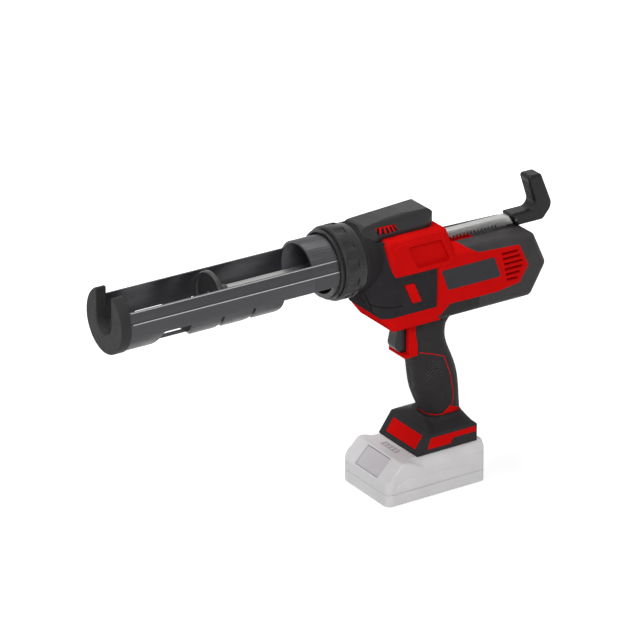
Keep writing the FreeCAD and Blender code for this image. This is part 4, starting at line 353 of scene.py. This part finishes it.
def add_piece(name, points, faces, slot, body):
    """A closed mesh piece in a finish of the record, which moves with a body."""
    mesh = bpy.data.meshes.new(name)
    mesh.from_pydata(points, [], faces)
    shell = bmesh.new()
    shell.from_mesh(mesh)
    bmesh.ops.remove_doubles(shell, verts=shell.verts, dist=SAME_SPOT)
    bmesh.ops.recalc_face_normals(shell, faces=shell.faces)
    shell.to_mesh(mesh)
    shell.free()
    mesh.materials.append(MATERIALS[slot])
    piece = bpy.data.objects.new(name, mesh)
    bpy.context.scene.collection.objects.link(piece)
    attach(piece, body)


def add_group(name, skins, slot, body):
    """Several closed skins as one piece."""
    points, faces = [], []
    for more_points, more_faces in skins:
        faces += [tuple(len(points) + corner for corner in face) for face in more_faces]
        points += more_points
    add_piece(name, points, faces, slot, body)


# Foot: front, rear, half width, corner radius and height of each ring

FOOT_SKIRT = (
    (4.0, 44.0, 21.5, 10.0, 64.0),
    (2.6, 44.9, 22.5, 11.0, 66.2),
    (0.2, 45.2, 26.6, 8.0, 64.0),
    (-3.2, 45.4, 31.8, 4.0, 61.7),
    (-2.4, 44.8, 31.0, 4.0, 60.4),
)


def add_foot_skirt():
    """Smooth slope between the handle's neck and the edge of the foot."""
    add_piece("foot_skirt", *skin([rounded_ring(*row) for row in FOOT_SKIRT]), "black_plastic", "housing")


# Grip and gear housing: paths and outlines of (x, z) on the side

GRIP_STRIPE = (
    (-4.8, 137.3), (1.0, 136.0), (11.6, 132.5), (20.2, 128.7), (22.4, 125.7), (25.3, 117.8), (28.4, 108.4),
    (30.3, 98.2), (32.1, 87.0), (31.7, 81.2), (30.6, 77.0),
)
STRIPE_WIDTH, STRIPE_PROUD = 0.85, 0.2
GRIP_DOTS = (
    (4.7, 124.8), (7.3, 126.6), (13.8, 125.9), (16.9, 123.2), (21.1, 113.1), (20.0, 110.0), (9.2, 109.3),
    (2.1, 106.9), (1.8, 114.4),
)
DOT_MIDDLE, DOT_STEP, DOT_ROW = (11, 116), (1.4, 1.4), (3.0, -1.1)
DOT_STEPS, DOT_ROWS = 24, 14
DOT_RADIUS, DOT_PROUD = 0.6, 0.6
# Near-black strips along the housing's joints: painted shadow lines
SEAM_SHADOWS = {
    "front_seam_shadow": ((-68.6, 213.4), (-66.6, 208.6), (-64.6, 203.7), (-62.2, 196.4)),
    "lower_seam_shadow": ((-65.4, 203.7), (-62.2, 201.6), (-55.9, 199.3), (-46.4, 198.2), (-34.8, 197.9)),
}
SEAM_WIDTH, SEAM_PROUD = 0.9, 0.12


def dot_spots():
    """Slanting rows of spots inside the outline of the dotted field."""
    spots = []
    for row in range(-DOT_ROWS, DOT_ROWS + 1):
        for step in range(-DOT_STEPS, DOT_STEPS + 1):
            x, z = (
                middle + along * step + across * row
                for middle, along, across in zip(DOT_MIDDLE, DOT_STEP, DOT_ROW)
            )
            if inside(GRIP_DOTS, x, z):
                spots.append((x, z))
    return spots


def add_grip_details():
    """Red line, field of fine dots and near-black seam strips on each side of the handle and the housing; the
    strips paint the shadow lines of the joints.
    """
    housing = surface("gear_housing")
    for side_name, side in SIDES.items():
        grip = surface(f"grip_cover_{side_name}")
        stripe = on_side(grip, side, smooth_path(GRIP_STRIPE))
        add_piece(f"grip_line_{side_name}", *bead(stripe, STRIPE_WIDTH, STRIPE_PROUD), "red_plastic", "housing")
        dots = [stud(place, DOT_RADIUS, DOT_PROUD) for place in on_side(grip, side, dot_spots())]
        add_group(f"grip_dots_{side_name}", dots, "cradle_black", "housing")
        for name, path in SEAM_SHADOWS.items():
            seam = on_side(housing, side, smooth_path(path))
            add_piece(f"{name}_{side_name}", *bead(seam, SEAM_WIDTH, SEAM_PROUD), "motor_cap", "housing")


# Cradle: distances of the rim and the ledge from the middle, and the painted highlight lines on them

RIM_OUT, LEDGE_OUT = 24.65, 29.15
RIM_X = -200
LINE_BELOW = 0.4
LINE_FRONT_GAP, LINE_REAR_GAP = 2.0, 0.5
LINE_STEPS = 90
LINE_WIDTH, LINE_PROUD = 0.9, 0.15


def add_cradle_highlight_lines():
    """Bright steel beads along the rims and ledges of the cradle, as far as the lock ring, that paint highlights
    on their edges.
    """
    cradle = surface("cartridge_cradle", "cradle_sleeve")
    first = front_of("cartridge_cradle") + LINE_FRONT_GAP
    last = front_of("lock_ring") - LINE_REAR_GAP
    lines = []
    for side in SIDES.values():
        for out in (RIM_OUT, LEDGE_OUT):
            spot, _ = cast(cradle, (RIM_X, side * out, TOP_CLEAR), DOWN)
            height = spot.z / MM - LINE_BELOW
            path = [(first + (last - first) * step / LINE_STEPS, height) for step in range(LINE_STEPS + 1)]
            lines.append(bead(on_side(cradle, side, path), LINE_WIDTH, LINE_PROUD))
    # Steel beads as painted highlights along the cradle's edges
    add_group("cradle_highlight_lines", lines, "motor_steel", "cradle")


# Vents: slats from the shell's left wall inwards

SLAT_COUNT, SLAT_PITCH = 11, 3.6
SLAT_LOW, SLAT_RISE, SLAT_HEIGHT = 191.5, 4.4, 0.9
SLAT_WALL, SLAT_INNER = -26.4, -22.4
SLAT_ENDS = (72.0, 104.0)


def add_vent_screen():
    """Slanted slats behind the vents, so that no light falls through the body."""
    slats = []
    for number in range(SLAT_COUNT):
        low = SLAT_LOW + SLAT_PITCH * number
        high = low + SLAT_RISE
        section = (
            (SLAT_WALL, low), (SLAT_INNER, high), (SLAT_INNER, high + SLAT_HEIGHT), (SLAT_WALL, low + SLAT_HEIGHT)
        )
        slats.append(skin([[Vector((x, y, z)) * MM for y, z in section] for x in SLAT_ENDS]))
    add_group("vent_screen", slats, "motor_cap", "housing")


# Speed dial: radius and height of each ring of the near-black sheet that paints the shade between its ribs

DIAL_X = -44
DIAL_GAP_SHADE = ((16.5, 273.1), (17.6, 273.1), (21.6, 269.3), (20.5, 269.3))
DIAL_STEPS = 96


def add_dial_gap_shade():
    """Near-black sheet between the ribs of the speed dial, as painted shade of the gaps."""
    rings = []
    for radius, height in DIAL_GAP_SHADE:
        rings.append([
            Vector((DIAL_X + radius * math.cos(turn), radius * math.sin(turn), height)) * MM
            for turn in (math.tau * number / DIAL_STEPS for number in range(DIAL_STEPS))
        ])
    points, (_, _, *round_faces) = skin([*rings, rings[0]])
    # Near-black sheet as painted shade between the dial's ribs
    add_piece("dial_gap_shade", points, round_faces, "motor_cap", "speed_dial")


# Hook

HOOK_CLEAR = 100
RIB_COUNT, RIB_LOW, RIB_PITCH = 7, 257, 2.7
RIB_ACROSS = (-5.5, -2.75, 0, 2.75, 5.5)
RIB_WIDTH, RIB_PROUD = 1.3, 0.5


def add_hook_ribs():
    """Fine grip ribs across the inner face of the hook."""
    hook = surface("pull_hook")
    ribs = []
    for number in range(RIB_COUNT):
        height = RIB_LOW + RIB_PITCH * number
        places = [cast(hook, (HOOK_CLEAR, y, height), (1, 0, 0)) for y in RIB_ACROSS]
        ribs.append(bead([place for place in places if place is not None], RIB_WIDTH, RIB_PROUD))
    add_group("hook_ribs", ribs, "hook_black", "push_rod")


# Battery pack

PACK_DECK = 41.0
SLOPE_FRONT, SLOPE_LOW, SLOPE_RISE, SLOPE_RUN = -55.3, 23.0, 18.0, 17.3
EAR_FRONT, EAR_LENGTH, EAR_STEPS = -46.6, 38.6, 24
EAR_BEND, EAR_BEND_LENGTH = -35.0, 27.0
EAR_REAR_HEIGHT = 32.0
EAR_LIFT = 0.1
PANEL_OUTLINE = (
    (-44.5, 14.0), (-44.5, 18.1), (-42.1, 20.8), (-36.0, 23.2), (-27.6, 24.7), (-13.0, 24.6), (1.7, 24.0),
    (20.0, 22.6), (40.0, 20.9), (40.0, 18.0), (40.0, 14.0), (20.0, 14.0), (0.0, 14.0), (-22.0, 14.0),
    (-44.5, 14.0),
)
PANEL_MIDDLE = (-3.0, 19.0)
PANEL_LAYERS = ((1.0, 37.0), (1.0, 38.5), (0.985, 38.9))
BAR_MIDDLES = (8.2, 2.7, -2.7, -8.2)
BAR_ALONG = (-28.6, -27.6, -26.6, -25.6, -24.6)
BAR_WIDTH, BAR_PROUD = 2.4, 0.3
NOSING = (
    (-21.3, 40.9), (-21.3, 42.55), (-25.3, 42.85), (-25.3, 44.5), (25.3, 44.5), (25.3, 42.85), (21.3, 42.55),
    (21.3, 40.9),
)
NOSING_BACKS = (0.15, 2.6)
FOOT_FRONT, FOOT_LOW, FOOT_RUN, FOOT_RISE = -18.4, 41.3, 14.2, 20.2


def slope_top(x):
    """Height of the pack's front slope and deck."""
    return min(PACK_DECK, SLOPE_LOW + (x - SLOPE_FRONT) * SLOPE_RISE / SLOPE_RUN)


def ear_section(x):
    """Section (y, z) of a front ear of the pack, which sinks outwards towards the rear."""
    top = slope_top(x)
    share = min(1.0, max(0.0, (x - EAR_BEND) / EAR_BEND_LENGTH))
    outer = top + (EAR_REAR_HEIGHT - top) * share * share * (3 - 2 * share)
    return (
        (29.5, top - 1.5), (30.2, top + EAR_LIFT), (33.6, top + (outer - top) * 0.45 + EAR_LIFT),
        (36.8, outer + EAR_LIFT), (38.15, outer - 1.2), (38.15, 30.3), (33.0, 29.5),
    )


def add_pack_details():
    """Front ears, side contours, gauge bars and the nosing before the rails of the battery pack."""
    for side_name, side in SIDES.items():
        rings = []
        for number in range(EAR_STEPS + 1):
            x = EAR_FRONT + EAR_LENGTH * number / EAR_STEPS
            rings.append([Vector((x, side * y, z)) * MM for y, z in ear_section(x)])
        add_piece(f"pack_ear_{side_name}", *skin(rings), "pack_grey", "battery")
        outline = smooth_path(PANEL_OUTLINE)[:-1]
        middle = Vector(PANEL_MIDDLE)
        rings = []
        for share, y in PANEL_LAYERS:
            spots = [middle + (Vector(spot) - middle) * share for spot in outline]
            rings.append([Vector((spot.x, side * y, spot.y)) * MM for spot in spots])
        add_piece(f"pack_panel_{side_name}", *skin(rings), "pack_grey", "battery")
    gauge = surface("battery_gauge", "battery_upper_case")
    bars = []
    for y in BAR_MIDDLES:
        places = [cast(gauge, (x, y, PACK_CLEAR), DOWN) for x in BAR_ALONG]
        bars.append(bead(places, BAR_WIDTH, BAR_PROUD))
    add_group("gauge_bars", bars, "pack_grey", "battery")
    rings = []
    for back in NOSING_BACKS:
        rings.append([
            Vector((FOOT_FRONT + (z - FOOT_LOW) * FOOT_RUN / FOOT_RISE + back, y, z)) * MM for y, z in NOSING
        ])
    add_piece("rail_nosing", *skin(rings), "black_plastic", "battery")


bpy.context.view_layer.update()
add_foot_skirt()
add_grip_details()
add_cradle_highlight_lines()
add_vent_screen()
add_dial_gap_shade()
add_hook_ribs()
add_pack_details()


# Camera, light and floor, in metres

VIEW_TURN = math.radians(33.11)
VIEW_RISE = math.radians(24.02)
VIEW_DISTANCE = 4.02475
VIEW_RIGHT = 0.08786
VIEW_UP = -0.14980
VIEW_END = 100
FOCAL_SHARE = 6.70559
SENSOR = 36.0
LAMPS = (
    ("key", (-1.1, -2.0, 1.9), (-0.05, 0, 0.2), 0.9, 34),
    ("top", (-0.2, 0.3, 2.2), (-0.05, 0, 0.2), 1.3, 20),
    ("front", (-2.4, -0.4, 0.9), (0, 0, 0.15), 1.2, 7),
)
WORLD_LIGHT = 0.25
FLOOR_HALF, FLOOR_DROP = 12.0, 0.2 * MM
FLOOR_PALE, FLOOR_PALER = (0.88, 0.88, 0.88), (0.9, 0.9, 0.9)
FLOOR_ROUGHNESS = 0.9
SPECKLE_SIZE = 40 * MM
GLOW_NEAR, GLOW_FAR = 0.45, 1.0
FADE_NEAR, FADE_FAR = 0.25, 0.9
WHITE = (1, 1, 1, 1)


def add_camera():
    """Camera at the photograph's viewing angle, looking straight ahead with no shift."""
    back = Vector((
        -math.sin(VIEW_TURN) * math.cos(VIEW_RISE), -math.cos(VIEW_TURN) * math.cos(VIEW_RISE), math.sin(VIEW_RISE)
    ))
    right = Vector((math.cos(VIEW_TURN), -math.sin(VIEW_TURN), 0))
    up = back.cross(right)
    data = bpy.data.cameras.new("camera")
    data.sensor_width = SENSOR
    data.lens = FOCAL_SHARE * SENSOR
    data.clip_end = VIEW_END
    camera = bpy.data.objects.new("camera", data)
    camera.location = back * VIEW_DISTANCE - right * VIEW_RIGHT - up * VIEW_UP
    camera.rotation_euler = (-back).to_track_quat("-Z", "Y").to_euler()
    bpy.context.scene.collection.objects.link(camera)
    bpy.context.scene.camera = camera


def add_softbox(name, spot, target, size, power):
    """A round soft lamp that faces a target."""
    data = bpy.data.lights.new(name, "AREA")
    data.shape = "DISK"
    data.size = size
    data.energy = power
    lamp = bpy.data.objects.new(name, data)
    lamp.location = spot
    lamp.rotation_euler = (Vector(target) - Vector(spot)).to_track_quat("-Z", "Y").to_euler()
    bpy.context.scene.collection.objects.link(lamp)


def seen_directly(tree):
    """1 for rays from the camera, a mirror or clear material, and 0 for light that falls on the object."""
    path = tree.nodes.new("ShaderNodeLightPath")
    total = path.outputs["Is Camera Ray"]
    for name in ("Is Glossy Ray", "Is Transmission Ray"):
        larger = tree.nodes.new("ShaderNodeMath")
        larger.operation = "MAXIMUM"
        tree.links.new(total, larger.inputs[0])
        tree.links.new(path.outputs[name], larger.inputs[1])
        total = larger.outputs[0]
    return total


def set_world():
    """White backdrop for the eye, and a soft even light for the object."""
    world = bpy.data.worlds.new("studio")
    bpy.context.scene.world = world
    world.use_nodes = True
    tree = world.node_tree
    tree.nodes.clear()
    lit, shown = (tree.nodes.new("ShaderNodeBackground") for _ in range(2))
    lit.inputs["Strength"].default_value = WORLD_LIGHT
    shown.inputs["Strength"].default_value = 1.0
    mix = tree.nodes.new("ShaderNodeMixShader")
    tree.links.new(seen_directly(tree), mix.inputs[0])
    tree.links.new(lit.outputs[0], mix.inputs[1])
    tree.links.new(shown.outputs[0], mix.inputs[2])
    tree.links.new(mix.outputs[0], tree.nodes.new("ShaderNodeOutputWorld").inputs["Surface"])
    for background in (lit, shown):
        background.inputs["Color"].default_value = WHITE


def add_floor():
    """Pale floor that keeps the object's shadow near it and fades to white further out."""
    half = FLOOR_HALF
    mesh = bpy.data.meshes.new("floor")
    mesh.from_pydata([(-half, -half, 0), (half, -half, 0), (half, half, 0), (-half, half, 0)], [], [(0, 1, 2, 3)])
    floor = bpy.data.objects.new("floor", mesh)
    floor.location.z = -FLOOR_DROP
    bpy.context.scene.collection.objects.link(floor)
    material, tree, shader, place = new_material("pale_floor")
    speckle = noise(tree, place, SPECKLE_SIZE)
    tree.links.new(tint(tree, speckle, FLOOR_PALE, FLOOR_PALER), shader.inputs["Base Color"])
    shader.inputs["Roughness"].default_value = FLOOR_ROUGHNESS
    shader.inputs["Specular IOR Level"].default_value = 0.0
    shader.inputs["Emission Color"].default_value = WHITE
    away = tree.nodes.new("ShaderNodeVectorMath")
    away.operation = "LENGTH"
    tree.links.new(place, away.inputs[0])
    fade = tree.nodes.new("ShaderNodeMapRange")
    fade.interpolation_type = "SMOOTHSTEP"
    for name, value in (
        ("From Min", FADE_NEAR), ("From Max", FADE_FAR), ("To Min", GLOW_NEAR), ("To Max", GLOW_FAR)
    ):
        fade.inputs[name].default_value = value
    tree.links.new(away.outputs["Value"], fade.inputs["Value"])
    scale = tree.nodes.new("ShaderNodeMath")
    scale.operation = "MULTIPLY"
    tree.links.new(seen_directly(tree), scale.inputs[0])
    tree.links.new(fade.outputs["Result"], scale.inputs[1])
    tree.links.new(scale.outputs[0], shader.inputs["Emission Strength"])
    mesh.materials.append(material)


add_camera()
for lamp_row in LAMPS:
    add_softbox(*lamp_row)
set_world()
add_floor()

scene = bpy.context.scene
scene.view_settings.view_transform = "Standard"
